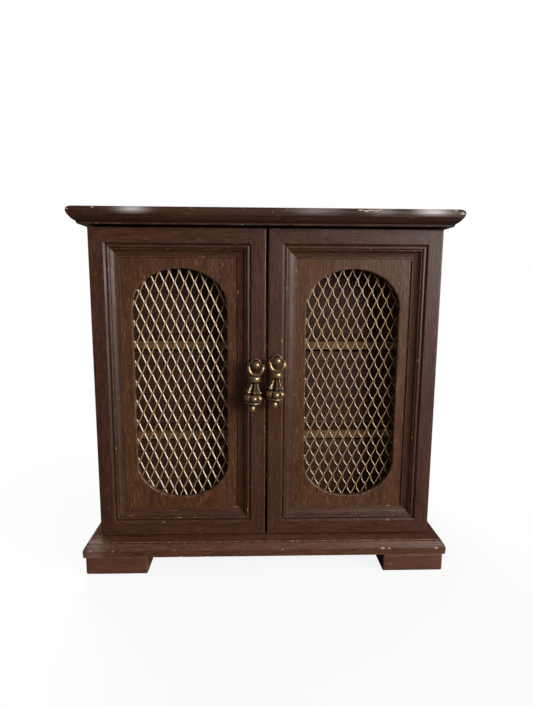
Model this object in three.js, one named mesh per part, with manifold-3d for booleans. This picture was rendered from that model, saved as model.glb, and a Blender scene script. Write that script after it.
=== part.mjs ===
// Small jewelry armoire: two framed doors with arched wire-mesh windows, three lined drawers
// behind them, a moulded cap and base, and four block feet.
// Millimetres, +Z up, front towards -Y. The origin is on the floor, under the middle of the
// whole object.

import * as THREE from 'three';
import { mergeVertices } from 'three/addons/utils/BufferGeometryUtils.js';
import Module from 'manifold-3d';

const wasm = await Module();
wasm.setup();

// ---------------------------------------------------------------- driving dimensions

const GAP = 0.3; // between pieces that touch
const OVERALL_WIDTH = 256; // across the cap
const OVERALL_DEPTH = 142.6; // from the drop pulls to the back of the cap
const BACK_Y = OVERALL_DEPTH / 2;
const DOOR_FACE_Y = -57.7;

const FOOT = { width: 43, depth: 40, height: 12.8, inset: 1.3, rounding: 1.8 };
const BASE = { bottom: FOOT.height + GAP, thickness: 9.9, width: 255.4, frontReach: 11.2 };
const BASE_TOP = BASE.bottom + BASE.thickness;
const CAP = { bottom: 240.7, thickness: 11, frontReach: 10 };

const CARCASS_WIDTH = 236;
const SIDE_THICKNESS = 9;
const BACK_THICKNESS = 5;
const CARCASS_BACK_Y = BACK_Y - 0.5;
const INNER_HALF_WIDTH = CARCASS_WIDTH / 2 - SIDE_THICKNESS;
const INTERIOR_BACK_Y = CARCASS_BACK_Y - BACK_THICKNESS;

const DOOR = { width: 117.2, height: 215.5, thickness: 12, bottom: 24 };
const FRAME = { width: 19.2, rebateFrom: 14.5, rebateDepth: 4.4, mitreGap: 0.15 };
const DOOR_BACK_Y = DOOR_FACE_Y + DOOR.thickness;
const CARCASS_FRONT_Y = DOOR_BACK_Y + GAP;
const PANEL = { thickness: 3.6, windowMargin: 7.1, archRise: 26 };
const GRILLE = { thickness: 1.4, cellWidth: 6.9, cellHeight: 14.2, strand: 1.1 };

const SHELF_THICKNESS = 6;
const SHELF_RECESS = 28; // behind the door faces, which leaves room for the drawer knobs
const TOP_PANEL_THICKNESS = 9;
const DRAWER_OPENING = 62.8; // clear height of the two lower openings
const DRAWER = {
  recess: SHELF_RECESS + 1.2,
  depth: 86,
  frontThickness: 8,
  wall: 5,
  floor: 3,
  floorRise: 2,
  sideClearance: 0.8,
  bottomClearance: 0.6,
  topClearance: 1.8,
  rimDrop: 4,
  liningThickness: 4,
  liningClearance: 0.6,
};
const KNOB_REACH = 11;

const HINGE = {
  height: 22,
  leaf: 0.8,
  leafWidth: 8,
  leafOffset: 0.25,
  knuckleRadius: 1.5,
  pinRadius: 0.6,
  boreRadius: 0.69,
  axisOutset: 1.8,
  mortiseClearance: 0.3,
  fromDoorEnd: 23,
};
const HINGE_AXIS_Y = (DOOR_BACK_Y + CARCASS_FRONT_Y) / 2;

const CATCH = { halfWidth: 13, height: 8.5, depth: 8.3 };
const STRIKE = { inner: 2.5, outer: 11, thickness: 0.8, height: 7.7 };

// The pulls were fitted by hand: the right one sits a little higher, and both lean a little.
const PULLS = {
  left: { x: -7.5, z: 148.9, leanDeg: 4.8 },
  right: { x: 6.8, z: 151.7, leanDeg: 3.4 },
};
const PULL_NECK_OUT = 3.4; // how far the post's neck stands in front of the door face
const PULL_BALL_OUT = 7.2;
const PULL_BELL_OUT = 7.0;

// ---------------------------------------------------------------- materials

function finish(color, roughness, metalness = 0) {
  return new THREE.MeshStandardMaterial({ color, roughness, metalness });
}

const MATERIALS = {
  frameWalnut: finish(0x59392b, 0.42),
  panelWalnut: finish(0x5e3a24, 0.5),
  caseWalnut: finish(0x4c2c20, 0.48),
  baseWalnut: finish(0x5a3a2d, 0.42),
  drawerWalnut: finish(0x4a2e1f, 0.5),
  shelfWood: finish(0x8a6a46, 0.55),
  drawerWood: finish(0xb08a5c, 0.7),
  velvet: finish(0x5d1a22, 0.95),
  antiqueBrass: finish(0x9c7b3c, 0.35, 1),
  goldMesh: finish(0xc9a96b, 0.3, 1),
  steel: finish(0xb5b5b5, 0.4, 1),
  magnetHolder: finish(0x2a2624, 0.6),
};

// ---------------------------------------------------------------- solids

/** A manifold solid from a closed three.js geometry. */
function solidOf(geometry) {
  const bare = geometry.clone();
  bare.deleteAttribute('normal');
  bare.deleteAttribute('uv');
  const merged = mergeVertices(bare, 1e-4);
  const vertProperties = new Float32Array(merged.attributes.position.array);
  const triVerts = new Uint32Array(merged.index.array);
  return new wasm.Manifold(new wasm.Mesh({ numProp: 3, vertProperties, triVerts }));
}

/** A three.js geometry from a manifold solid. */
function geometryOf(solid) {
  const mesh = solid.getMesh();
  const geometry = new THREE.BufferGeometry();
  geometry.setAttribute('position', new THREE.BufferAttribute(mesh.vertProperties, 3));
  geometry.setIndex(new THREE.BufferAttribute(mesh.triVerts, 1));
  geometry.computeVertexNormals();
  return geometry;
}

/** The pieces joined into one solid. */
function joined(...geometries) {
  const solids = geometries.map(solidOf);
  return geometryOf(solids.reduce((sum, solid) => sum.add(solid)));
}

/** The first piece with the others cut away. */
function cut(geometry, ...cutters) {
  const rest = cutters.map(solidOf);
  return geometryOf(rest.reduce((left, cutter) => left.subtract(cutter), solidOf(geometry)));
}

/** A box between two corners. */
function boxBetween([x0, y0, z0], [x1, y1, z1]) {
  const box = new THREE.BoxGeometry(x1 - x0, y1 - y0, z1 - z0);
  return box.translate((x0 + x1) / 2, (y0 + y1) / 2, (z0 + z1) / 2);
}

/** A box that spans the same distance either side of X = 0. */
function centredBox(halfWidth, [y0, y1], [z0, z1]) {
  return boxBetween([-halfWidth, y0, z0], [halfWidth, y1, z1]);
}

/** An upright cylinder centred on (x, y) between two heights. */
function uprightCylinder(radius, [x, y], [z0, z1], sides) {
  const cylinder = new THREE.CylinderGeometry(radius, radius, z1 - z0, sides);
  return cylinder.rotateX(Math.PI / 2).translate(x, y, (z0 + z1) / 2);
}

/** A closed outline through [a, b] points. */
function outline(points) {
  return new THREE.Shape(points.map(([a, b]) => new THREE.Vector2(a, b)));
}

/** An outline in X and Z, extruded from y0 back to y1. */
function extrudedAlongY(shape, y0, y1) {
  const solid = new THREE.ExtrudeGeometry(shape, { depth: y1 - y0, bevelEnabled: false });
  return solid.rotateX(Math.PI / 2).translate(0, y1, 0);
}

/** An outline in Y and Z, extruded from x0 to x1. */
function extrudedAlongX(shape, x0, x1) {
  const solid = new THREE.ExtrudeGeometry(shape, { depth: x1 - x0, bevelEnabled: false });
  return solid.rotateX(Math.PI / 2).rotateZ(Math.PI / 2).translate(x0, 0, 0);
}

/** A body turned from a [radius, height] profile about the Z axis. */
function turned(profile, sides) {
  const points = profile.map(([radius, height]) => new THREE.Vector2(radius, height));
  return new THREE.LatheGeometry(points, sides).rotateX(Math.PI / 2);
}

/**
 * A board with a moulding on its front and sides, and a square back edge. The moulding is a
 * list of [inset, height] points from the bottom face up to the top face.
 */
function mouldedBoard(moulding, halfWidth, frontY, backY) {
  const right = moulding.map(([inset, z]) => [halfWidth - inset, z]);
  const left = [...right].reverse().map(([x, z]) => [-x, z]);
  const across = extrudedAlongY(outline([...right, ...left]), frontY, backY);
  const front = moulding.map(([inset, z]) => [frontY + inset, z]);
  const bottom = moulding[0][1];
  const top = moulding[moulding.length - 1][1];
  const profile = outline([[backY, bottom], [backY, top], ...front.reverse()]);
  const along = extrudedAlongX(profile, -halfWidth, halfWidth);
  return geometryOf(solidOf(across).intersect(solidOf(along)));
}

function named(name, geometry, material) {
  const mesh = new THREE.Mesh(geometry, material);
  mesh.name = name;
  return mesh;
}

// ---------------------------------------------------------------- cap, base and feet

function capBoard() {
  const z = CAP.bottom;
  const moulding = [
    [5, z],
    [5, z + 1.6],
    [3.4, z + 2.2],
    [1.6, z + 3.6],
    [0.4, z + 5],
    [0, z + 5.2],
    [0, z + 6.4],
    [0.7, z + 8],
    [2.4, z + 9.8],
    [4.6, z + 10.8],
    [5.6, z + CAP.thickness],
  ];
  const board = mouldedBoard(moulding, OVERALL_WIDTH / 2, DOOR_FACE_Y - CAP.frontReach, BACK_Y);
  return named('cap_board', board, MATERIALS.caseWalnut);
}

function baseBoard() {
  const z = BASE.bottom;
  const moulding = [
    [0, z],
    [0, z + 5.2],
    [0.6, z + 6.8],
    [1.5, z + 8.2],
    [2.2, z + 9.2],
    [2.7, z + 9.2],
    [2.7, z + BASE.thickness],
  ];
  const board = mouldedBoard(moulding, BASE.width / 2, DOOR_FACE_Y - BASE.frontReach, BACK_Y);
  return named('base_board', board, MATERIALS.baseWalnut);
}

/** A block foot with its lower edges rounded, centred on X and Y. */
function footBlock() {
  const { width, depth, height, rounding } = FOOT;
  const softened = (half) => [
    [-half, height],
    [-half, rounding],
    [-half + rounding * 0.3, rounding * 0.3],
    [-half + rounding, 0],
    [half - rounding, 0],
    [half - rounding * 0.3, rounding * 0.3],
    [half, rounding],
    [half, height],
  ];
  const across = extrudedAlongY(outline(softened(width / 2)), -depth / 2, depth / 2);
  const along = extrudedAlongX(outline(softened(depth / 2)), -width / 2, width / 2);
  return geometryOf(solidOf(across).intersect(solidOf(along)));
}

function feet() {
  const x = BASE.width / 2 - FOOT.inset - FOOT.width / 2;
  const frontY = DOOR_FACE_Y - BASE.frontReach + FOOT.inset + FOOT.depth / 2;
  const backY = BACK_Y - FOOT.inset - FOOT.depth / 2;
  const places = {
    foot_front_left: [-x, frontY],
    foot_front_right: [x, frontY],
    foot_back_left: [-x, backY],
    foot_back_right: [x, backY],
  };
  return Object.entries(places).map(([name, [footX, footY]]) => {
    const foot = named(name, footBlock(), MATERIALS.baseWalnut);
    foot.position.set(footX, footY, 0);
    return foot;
  });
}

// ---------------------------------------------------------------- carcass

/** Heights of the middles of the two hinges on a door. */
const HINGE_HEIGHTS = {
  upper: DOOR.bottom + DOOR.height - HINGE.fromDoorEnd,
  lower: DOOR.bottom + HINGE.fromDoorEnd,
};

/** The pocket that a hinge leaf is let into, behind or in front of the hinge line. */
function leafMortise(side, middleZ, facing) {
  const clear = HINGE.mortiseClearance;
  const outer = CARCASS_WIDTH / 2 + 1;
  const inner = CARCASS_WIDTH / 2 - HINGE.leafWidth - clear;
  const deep = HINGE_AXIS_Y + facing * (HINGE.leafOffset + HINGE.leaf + clear);
  const xs = side === 'left' ? [-outer, -inner] : [inner, outer];
  const ys = [deep, HINGE_AXIS_Y].sort((a, b) => a - b);
  const halfHeight = HINGE.height / 2 + clear;
  return boxBetween([xs[0], ys[0], middleZ - halfHeight], [xs[1], ys[1], middleZ + halfHeight]);
}

function sidePanel(side) {
  const sign = side === 'left' ? -1 : 1;
  const board = boxBetween(
    [-SIDE_THICKNESS / 2, CARCASS_FRONT_Y, BASE_TOP + GAP],
    [SIDE_THICKNESS / 2, CARCASS_BACK_Y, CAP.bottom - GAP],
  ).translate(sign * (CARCASS_WIDTH - SIDE_THICKNESS) / 2, 0, 0);
  const mortises = Object.values(HINGE_HEIGHTS).map((z) => leafMortise(side, z, 1));
  return named(`side_panel_${side}`, cut(board, ...mortises), MATERIALS.caseWalnut);
}

/** Floor and ceiling of each drawer opening, from the base board up. */
function drawerOpenings() {
  const bottom = BASE_TOP + GAP;
  const middle = bottom + DRAWER_OPENING + SHELF_THICKNESS;
  const top = middle + DRAWER_OPENING + SHELF_THICKNESS;
  return {
    bottom: [bottom, bottom + DRAWER_OPENING],
    middle: [middle, middle + DRAWER_OPENING],
    top: [top, CAP.bottom - GAP - TOP_PANEL_THICKNESS],
  };
}

function carcass() {
  const between = INNER_HALF_WIDTH - GAP;
  const openings = drawerOpenings();
  const back = centredBox(
    between,
    [INTERIOR_BACK_Y, CARCASS_BACK_Y],
    [BASE_TOP + GAP, CAP.bottom - GAP],
  );
  const top = centredBox(
    between,
    [CARCASS_FRONT_Y, INTERIOR_BACK_Y - GAP],
    [openings.top[1], CAP.bottom - GAP],
  );
  const shelfDepth = [DOOR_FACE_Y + SHELF_RECESS, INTERIOR_BACK_Y - GAP];
  const shelves = { lower: openings.bottom[1], upper: openings.middle[1] };
  return [
    sidePanel('left'),
    sidePanel('right'),
    named('back_panel', back, MATERIALS.caseWalnut),
    named('top_panel', top, MATERIALS.caseWalnut),
    ...Object.entries(shelves).map(([place, z]) => {
      const shelf = centredBox(between, shelfDepth, [z, z + SHELF_THICKNESS]);
      return named(`drawer_shelf_${place}`, shelf, MATERIALS.shelfWood);
    }),
  ];
}

/** The double magnet under the top panel that both doors close against. */
function magnetCatch() {
  const top = drawerOpenings().top[1] - GAP;
  const front = CARCASS_FRONT_Y + STRIKE.thickness + GAP;
  const holder = centredBox(CATCH.halfWidth, [front, front + CATCH.depth], [top - CATCH.height, top]);
  return named('magnet_catch', holder, MATERIALS.magnetHolder);
}

// ---------------------------------------------------------------- hinges

/** The three knuckle spans of a hinge, from the bottom up. */
function knuckleSpans(middleZ) {
  const third = HINGE.height / 3;
  const start = middleZ - HINGE.height / 2;
  return [0, 1, 2].map((i) => [start + i * third + GAP / 2, start + (i + 1) * third - GAP / 2]);
}

/** A leaf's plate in its mortise, with a tongue to the knuckles in each given span. */
function leafPlate(side, middleZ, facing, spans) {
  const sign = side === 'left' ? -1 : 1;
  const near = HINGE_AXIS_Y + facing * HINGE.leafOffset;
  const far = near + facing * HINGE.leaf;
  const [y0, y1] = [near, far].sort((a, b) => a - b);
  const face = CARCASS_WIDTH / 2;
  const strip = (from, to, [z0, z1]) => {
    const [x0, x1] = [sign * from, sign * to].sort((a, b) => a - b);
    return boxBetween([x0, y0, z0], [x1, y1, z1]);
  };
  const half = HINGE.height / 2;
  const plate = strip(face - HINGE.leafWidth, face - 0.2, [middleZ - half, middleZ + half]);
  const tongues = spans.map((span) => strip(face - 1, face + HINGE.axisOutset, span));
  return [plate, ...tongues];
}

function hingeAxis(side) {
  const x = CARCASS_WIDTH / 2 + HINGE.axisOutset;
  return [side === 'left' ? -x : x, HINGE_AXIS_Y];
}

/** The leaf on the carcass: the two outer knuckles, and the pin fixed in them. */
function caseLeaf(side, place) {
  const z = HINGE_HEIGHTS[place];
  const [low, , high] = knuckleSpans(z);
  const axis = hingeAxis(side);
  const half = HINGE.height / 2;
  const pin = uprightCylinder(HINGE.pinRadius, axis, [z - half, z + half], 12);
  const knuckles = [low, high].map((span) => uprightCylinder(HINGE.knuckleRadius, axis, span, 16));
  const leaf = joined(...leafPlate(side, z, 1, [low, high]), ...knuckles, pin);
  return named(`case_hinge_leaf_${side}_${place}`, leaf, MATERIALS.antiqueBrass);
}

/** The leaf on the door: the middle knuckle, bored for the pin. */
function doorLeaf(side, place) {
  const z = HINGE_HEIGHTS[place];
  const middle = knuckleSpans(z)[1];
  const axis = hingeAxis(side);
  const knuckle = uprightCylinder(HINGE.knuckleRadius, axis, middle, 16);
  const bore = uprightCylinder(HINGE.boreRadius, axis, [middle[0] - 1, middle[1] + 1], 24);
  const leaf = cut(joined(...leafPlate(side, z, -1, [middle]), knuckle), bore);
  return named(`door_${side}_hinge_leaf_${place}`, leaf, MATERIALS.antiqueBrass);
}

// ---------------------------------------------------------------- doors

/**
 * Cross-section of a door's frame as [across, depth]: a flat outer band, a bead between two
 * grooves, a cove down to the lip, and the rebate behind the lip that holds the panel.
 */
const FRAME_SECTION = [
  [0, 0.7],
  [0.2, 0.2],
  [0.7, 0],
  [9.7, 0],
  [10.3, 0.3],
  [11.1, 1.2],
  [11.8, 0.9],
  [12.8, 1],
  [13.3, 1.7],
  [13.9, 1.7],
  [15, 2.8],
  [16.4, 3.5],
  [18.4, 3.9],
  [FRAME.width, 3.9],
  [FRAME.width, FRAME.rebateDepth],
  [FRAME.rebateFrom, FRAME.rebateDepth],
  [FRAME.rebateFrom, DOOR.thickness],
  [0, DOOR.thickness],
];

/**
 * One mitred member of a door frame, standing at the left of a frame whose middle is the
 * origin: the section is extruded upwards, and each end slopes inwards at 45 degrees.
 */
function frameMember(length, outwards) {
  const member = new THREE.ExtrudeGeometry(outline(FRAME_SECTION), {
    depth: length,
    bevelEnabled: false,
  });
  const position = member.attributes.position;
  for (let i = 0; i < position.count; i += 1) {
    const mitre = position.getX(i) + FRAME.mitreGap;
    const atStart = position.getZ(i) < length / 2;
    position.setZ(i, atStart ? mitre : length - mitre);
  }
  return member.translate(-outwards, DOOR_FACE_Y, -length / 2);
}

/** X and Z of the middle of a door. */
function doorMiddle(side) {
  const x = (CARCASS_WIDTH - DOOR.width) / 2;
  return [side === 'left' ? -x : x, DOOR.bottom + DOOR.height / 2];
}

/** The four mitred frame members, with the hinge mortises cut in the hinge stile. */
function doorFrame(side) {
  const [x, z] = doorMiddle(side);
  const quarter = Math.PI / 2;
  const hingeTurn = side === 'left' ? 0 : 2 * quarter;
  const placed = (length, outwards, turn) =>
    frameMember(length, outwards).rotateY(turn).translate(x, 0, z);
  const stile = (turn) => placed(DOOR.height, DOOR.width / 2, turn);
  const rail = (turn) => placed(DOOR.width, DOOR.height / 2, turn);
  const mortises = Object.values(HINGE_HEIGHTS).map((height) => leafMortise(side, height, -1));
  const members = {
    hinge_stile: cut(stile(hingeTurn), ...mortises),
    meeting_stile: stile(hingeTurn + 2 * quarter),
    top_rail: rail(quarter),
    bottom_rail: rail(-quarter),
  };
  return Object.entries(members).map(([place, member]) =>
    named(`door_${side}_${place}`, member, MATERIALS.frameWalnut));
}

/** Half width, half height and arch rise of the window in a door. */
function windowSize() {
  return {
    halfWidth: DOOR.width / 2 - FRAME.width - PANEL.windowMargin,
    halfHeight: DOOR.height / 2 - FRAME.width - PANEL.windowMargin,
    rise: PANEL.archRise,
  };
}

/** The window's outline: straight sides joined by a half ellipse at each end. */
function windowPath() {
  const { halfWidth, halfHeight, rise } = windowSize();
  const path = new THREE.Path();
  path.absellipse(0, halfHeight - rise, halfWidth, rise, 0, Math.PI, false, 0);
  path.absellipse(0, rise - halfHeight, halfWidth, rise, Math.PI, 2 * Math.PI, false, 0);
  path.closePath();
  return path;
}

/** A rectangle that fits the rebate of a door frame, about the door's middle. */
function rebateSheet() {
  const halfWidth = DOOR.width / 2 - FRAME.rebateFrom - GAP;
  const halfHeight = DOOR.height / 2 - FRAME.rebateFrom - GAP;
  return outline([
    [-halfWidth, -halfHeight],
    [halfWidth, -halfHeight],
    [halfWidth, halfHeight],
    [-halfWidth, halfHeight],
  ]);
}

function windowPanel(side) {
  const [x, z] = doorMiddle(side);
  const sheet = rebateSheet();
  sheet.holes.push(windowPath());
  const front = DOOR_FACE_Y + FRAME.rebateDepth + GAP;
  const panel = extrudedAlongY(sheet, front, front + PANEL.thickness).translate(x, 0, z);
  return named(`door_${side}_window_panel`, panel, MATERIALS.panelWalnut);
}

/** True where a point lies inside the window's outline grown by a margin. */
function insideWindow(x, z, margin) {
  const { halfWidth, halfHeight, rise } = windowSize();
  const beyond = Math.max(Math.abs(z) - (halfHeight - rise), 0);
  return Math.hypot(x / (halfWidth + margin), beyond / (rise + margin)) < 1;
}

/** One diamond hole, long enough to pass through the mesh sheet. */
function diamondCutter([holeX, holeZ], front) {
  const halfWidth = (GRILLE.cellWidth - GRILLE.strand) / 2;
  const halfHeight = (GRILLE.cellHeight * halfWidth) / GRILLE.cellWidth;
  const diamond = outline([
    [holeX - halfWidth, holeZ],
    [holeX, holeZ - halfHeight],
    [holeX + halfWidth, holeZ],
    [holeX, holeZ + halfHeight],
  ]);
  return extrudedAlongY(diamond, front - 1, front + GRILLE.thickness + 1);
}

/** Centres of the staggered diamonds that lie over the window. */
function diamondCentres() {
  const { halfWidth, halfHeight } = windowSize();
  const rows = Math.ceil((2 * halfHeight) / GRILLE.cellHeight);
  const columns = Math.ceil(halfWidth / GRILLE.cellWidth);
  const centres = [];
  for (let row = -rows; row <= rows; row += 1) {
    for (let column = -columns; column <= columns; column += 1) {
      const x = (column + (row % 2 ? 0.5 : 0)) * GRILLE.cellWidth;
      const z = (row * GRILLE.cellHeight) / 2;
      if (insideWindow(x, z, GRILLE.strand)) centres.push([x, z]);
    }
  }
  return centres;
}

/** The mesh sheet: a plain plate with staggered diamond holes over the window. */
function grille(side) {
  const [x, z] = doorMiddle(side);
  const front = DOOR_FACE_Y + FRAME.rebateDepth + PANEL.thickness + 2 * GAP;
  const plate = extrudedAlongY(rebateSheet(), front, front + GRILLE.thickness);
  const holes = diamondCentres().map((centre) => diamondCutter(centre, front));
  const mesh = cut(plate, ...holes).translate(x, 0, z);
  return named(`door_${side}_grille`, mesh, MATERIALS.goldMesh);
}

/** The steel plate on the back of a door that meets the magnet. */
function strikePlate(side) {
  const sign = side === 'left' ? -1 : 1;
  const [x0, x1] = [sign * STRIKE.inner, sign * STRIKE.outer].sort((a, b) => a - b);
  const top = drawerOpenings().top[1] - 2 * GAP;
  const plate = boxBetween(
    [x0, CARCASS_FRONT_Y, top - STRIKE.height],
    [x1, CARCASS_FRONT_Y + STRIKE.thickness, top],
  );
  return named(`door_${side}_strike_plate`, plate, MATERIALS.steel);
}

// ---------------------------------------------------------------- drop pulls

/** The post that screws into the door: a cupped rosette, a neck and a ball. */
function pullPost(side) {
  const { x, z } = PULLS[side];
  const profile = [
    [0, GAP],
    [3.8, GAP],
    [3.7, 0.9],
    [2.8, 1.5],
    [1.5, 1.8],
    [0.9, 2.1],
    [0.9, PULL_BALL_OUT - 2.5],
    [1.9, PULL_BALL_OUT - 1.9],
    [2.6, PULL_BALL_OUT - 0.8],
    [2.6, PULL_BALL_OUT + 0.8],
    [1.9, PULL_BALL_OUT + 1.9],
    [0.8, PULL_BALL_OUT + 2.6],
    [0, PULL_BALL_OUT + 2.7],
  ];
  const post = turned(profile, 16).rotateX(Math.PI / 2).translate(x, DOOR_FACE_Y, z);
  return named(`pull_${side}_post`, post, MATERIALS.antiqueBrass);
}

/** How far each end of the stirrup stays from the middle of the post's neck. */
const STIRRUP_GAP = 1.3;

/** Half of the stirrup: an arm from the bell up past the ball, ending at the post's neck. */
function stirrupHalf(sign) {
  const overlap = -0.3;
  const points = [
    [overlap, PULL_BELL_OUT, -7.2],
    [2.6, PULL_BELL_OUT, -6.5],
    [4.5, PULL_BELL_OUT - 0.1, -4.2],
    [5.2, PULL_BELL_OUT - 0.8, -1.8],
    [4.9, PULL_NECK_OUT + 1.4, 0.1],
    [3.3, PULL_NECK_OUT + 0.2, 0.1],
    [STIRRUP_GAP, PULL_NECK_OUT, 0],
  ];
  const curve = new THREE.CatmullRomCurve3(
    points.map(([x, out, z]) => new THREE.Vector3(sign * x, -out, z)),
  );
  const section = new THREE.Shape();
  section.absellipse(0, 0, 0.75, 0.6, 0, 2 * Math.PI, false, 0);
  return new THREE.ExtrudeGeometry(section, {
    steps: 16,
    curveSegments: 4,
    extrudePath: curve,
  });
}

/** The swinging part of a pull: the stirrup, the bell that hangs from it and its drop. */
function pullPendant(side) {
  const { x, z, leanDeg } = PULLS[side];
  const profile = [
    [0, -32.7],
    [1.2, -32.3],
    [2, -30.6],
    [1.6, -29],
    [1, -28],
    [1.2, -26.9],
    [4.7, -26.4],
    [5.4, -25.4],
    [6.4, -24],
    [6.6, -22.6],
    [6.3, -21],
    [5.3, -19.9],
    [5.3, -18.8],
    [3.9, -16.5],
    [2.9, -14],
    [2.5, -11.9],
    [3.5, -11.2],
    [3.9, -9.6],
    [3.5, -8],
    [2.2, -7.3],
    [0, -7.2],
  ];
  const bell = turned(profile, 16).translate(0, -PULL_BELL_OUT, 0);
  const pendant = joined(bell, stirrupHalf(-1), stirrupHalf(1));
  pendant.rotateY(THREE.MathUtils.degToRad(leanDeg)).translate(x, DOOR_FACE_Y, z);
  return named(`pull_${side}_pendant`, pendant, MATERIALS.antiqueBrass);
}

// ---------------------------------------------------------------- drawers

/** A front, two sides, a back, a floor, a velvet lining and a knob, in one opening. */
function drawer(level, [openingBottom, openingTop]) {
  const halfWidth = INNER_HALF_WIDTH - DRAWER.sideClearance;
  const bottom = openingBottom + DRAWER.bottomClearance;
  const top = openingTop - DRAWER.topClearance;
  const rim = top - DRAWER.rimDrop;
  const frontY = DOOR_FACE_Y + DRAWER.recess;
  const boxFrontY = frontY + DRAWER.frontThickness + GAP;
  const backY = frontY + DRAWER.depth;
  const inner = halfWidth - DRAWER.wall - GAP;
  const floorBottom = bottom + DRAWER.floorRise;
  const floorTop = floorBottom + DRAWER.floor;
  const wallFront = backY - DRAWER.wall;
  const clear = DRAWER.liningClearance;
  const side = (x0, x1) => boxBetween([x0, boxFrontY, bottom], [x1, backY, rim]);
  const front = centredBox(halfWidth, [frontY, frontY + DRAWER.frontThickness], [bottom, top]);
  const floor = centredBox(inner, [boxFrontY, wallFront - GAP], [floorBottom, floorTop]);
  const lining = centredBox(
    inner - clear,
    [boxFrontY + clear, wallFront - GAP - clear],
    [floorTop + GAP, floorTop + GAP + DRAWER.liningThickness],
  );
  const pieces = {
    front: [front, MATERIALS.drawerWalnut],
    side_left: [side(-halfWidth, -halfWidth + DRAWER.wall), MATERIALS.drawerWood],
    side_right: [side(halfWidth - DRAWER.wall, halfWidth), MATERIALS.drawerWood],
    back: [centredBox(inner, [wallFront, backY], [bottom, rim]), MATERIALS.drawerWood],
    floor: [floor, MATERIALS.drawerWood],
    lining: [lining, MATERIALS.velvet],
    knob: [drawerKnob(frontY, (bottom + top) / 2), MATERIALS.antiqueBrass],
  };
  return Object.entries(pieces).map(([piece, [geometry, material]]) =>
    named(`drawer_${level}_${piece}`, geometry, material));
}

/** A turned knob on the middle of a drawer front. */
function drawerKnob(frontY, z) {
  const profile = [
    [0, GAP],
    [3.6, GAP],
    [3.4, 1.2],
    [1.7, 2.2],
    [1.6, 4.6],
    [3.2, 5.8],
    [4.4, 7.6],
    [4.2, 9.4],
    [2.6, 10.6],
    [0, KNOB_REACH],
  ];
  return turned(profile, 16).rotateX(Math.PI / 2).translate(0, frontY, z);
}

// ---------------------------------------------------------------- assembly

function door(side) {
  const leaf = new THREE.Group();
  leaf.add(
    ...doorFrame(side),
    windowPanel(side),
    grille(side),
    strikePlate(side),
    ...Object.keys(HINGE_HEIGHTS).map((place) => doorLeaf(side, place)),
    pullPost(side),
    pullPendant(side),
  );
  return leaf;
}

function caseHinges() {
  return ['left', 'right'].flatMap((side) =>
    Object.keys(HINGE_HEIGHTS).map((place) => caseLeaf(side, place)));
}

const armoire = new THREE.Group();
armoire.add(baseBoard(), ...feet(), ...carcass(), capBoard(), magnetCatch(), ...caseHinges());
armoire.add(door('left'), door('right'));
for (const [level, opening] of Object.entries(drawerOpenings())) {
  armoire.add(...drawer(level, opening));
}

export default armoire;
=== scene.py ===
"""Jewelry armoire: the finished surfaces and materials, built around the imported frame.

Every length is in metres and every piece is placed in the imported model's own frame: +Z is up,
-Y points out of the doors and +X is to the right when facing them.
"""

import logging
import math
from dataclasses import dataclass, field
from enum import Enum

import bpy
import numpy as np
from mathutils import Matrix, Vector


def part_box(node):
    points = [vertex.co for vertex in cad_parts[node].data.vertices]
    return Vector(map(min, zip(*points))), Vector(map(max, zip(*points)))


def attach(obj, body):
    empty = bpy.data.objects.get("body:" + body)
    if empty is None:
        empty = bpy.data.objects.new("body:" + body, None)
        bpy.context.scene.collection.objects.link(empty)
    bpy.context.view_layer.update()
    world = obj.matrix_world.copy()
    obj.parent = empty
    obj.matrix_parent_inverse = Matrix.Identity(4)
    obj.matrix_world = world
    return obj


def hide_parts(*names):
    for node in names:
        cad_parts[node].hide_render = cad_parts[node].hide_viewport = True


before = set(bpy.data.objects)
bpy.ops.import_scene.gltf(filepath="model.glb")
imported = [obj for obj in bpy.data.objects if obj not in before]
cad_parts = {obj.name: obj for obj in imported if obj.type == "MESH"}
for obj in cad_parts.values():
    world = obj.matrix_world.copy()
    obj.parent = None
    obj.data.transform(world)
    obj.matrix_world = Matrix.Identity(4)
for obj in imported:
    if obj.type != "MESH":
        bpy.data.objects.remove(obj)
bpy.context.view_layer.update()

Array = np.ndarray
Colour = tuple[float, float, float]
Socket = bpy.types.NodeSocket

log = logging.getLogger("armoire")
MM = 0.001
SAME_PLACE = 0.0005 * MM
TURN_FOR_FULL_SCORE = math.pi / 3
STRONG_EDGE = 0.55


# ---------------------------------------------------------------- choices


class Grain(Enum):
    """The direction that a board's grain runs in, as an axis number."""

    ACROSS = 0
    DEEP = 1
    UPRIGHT = 2


class Side(Enum):
    """Which door a piece belongs to, and its sign along X."""

    LEFT = -1
    RIGHT = 1

    @property
    def word(self) -> str:
        """The side as it is written in node names."""
        return self.name.lower()


# ---------------------------------------------------------------- surfaces


def quad_grid(rows: int, columns: int, wrap_rows: bool = False, wrap_columns: bool = False) -> Array:
    """Faces of a grid of points numbered row by row.

    Args:
        rows: Number of rows of points.
        columns: Number of points in a row.
        wrap_rows: Joins the last row to the first.
        wrap_columns: Joins each row's last point to its first.

    Returns:
        One row of four point numbers for each face.
    """
    row = np.arange(rows if wrap_rows else rows - 1)
    column = np.arange(columns if wrap_columns else columns - 1)
    r, c = (part.ravel() for part in np.meshgrid(row, column, indexing="ij"))
    r_next, c_next = (r + 1) % rows, (c + 1) % columns
    corners = (r * columns + c, r_next * columns + c, r_next * columns + c_next, r * columns + c_next)
    return np.stack(corners, axis=1)


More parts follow.
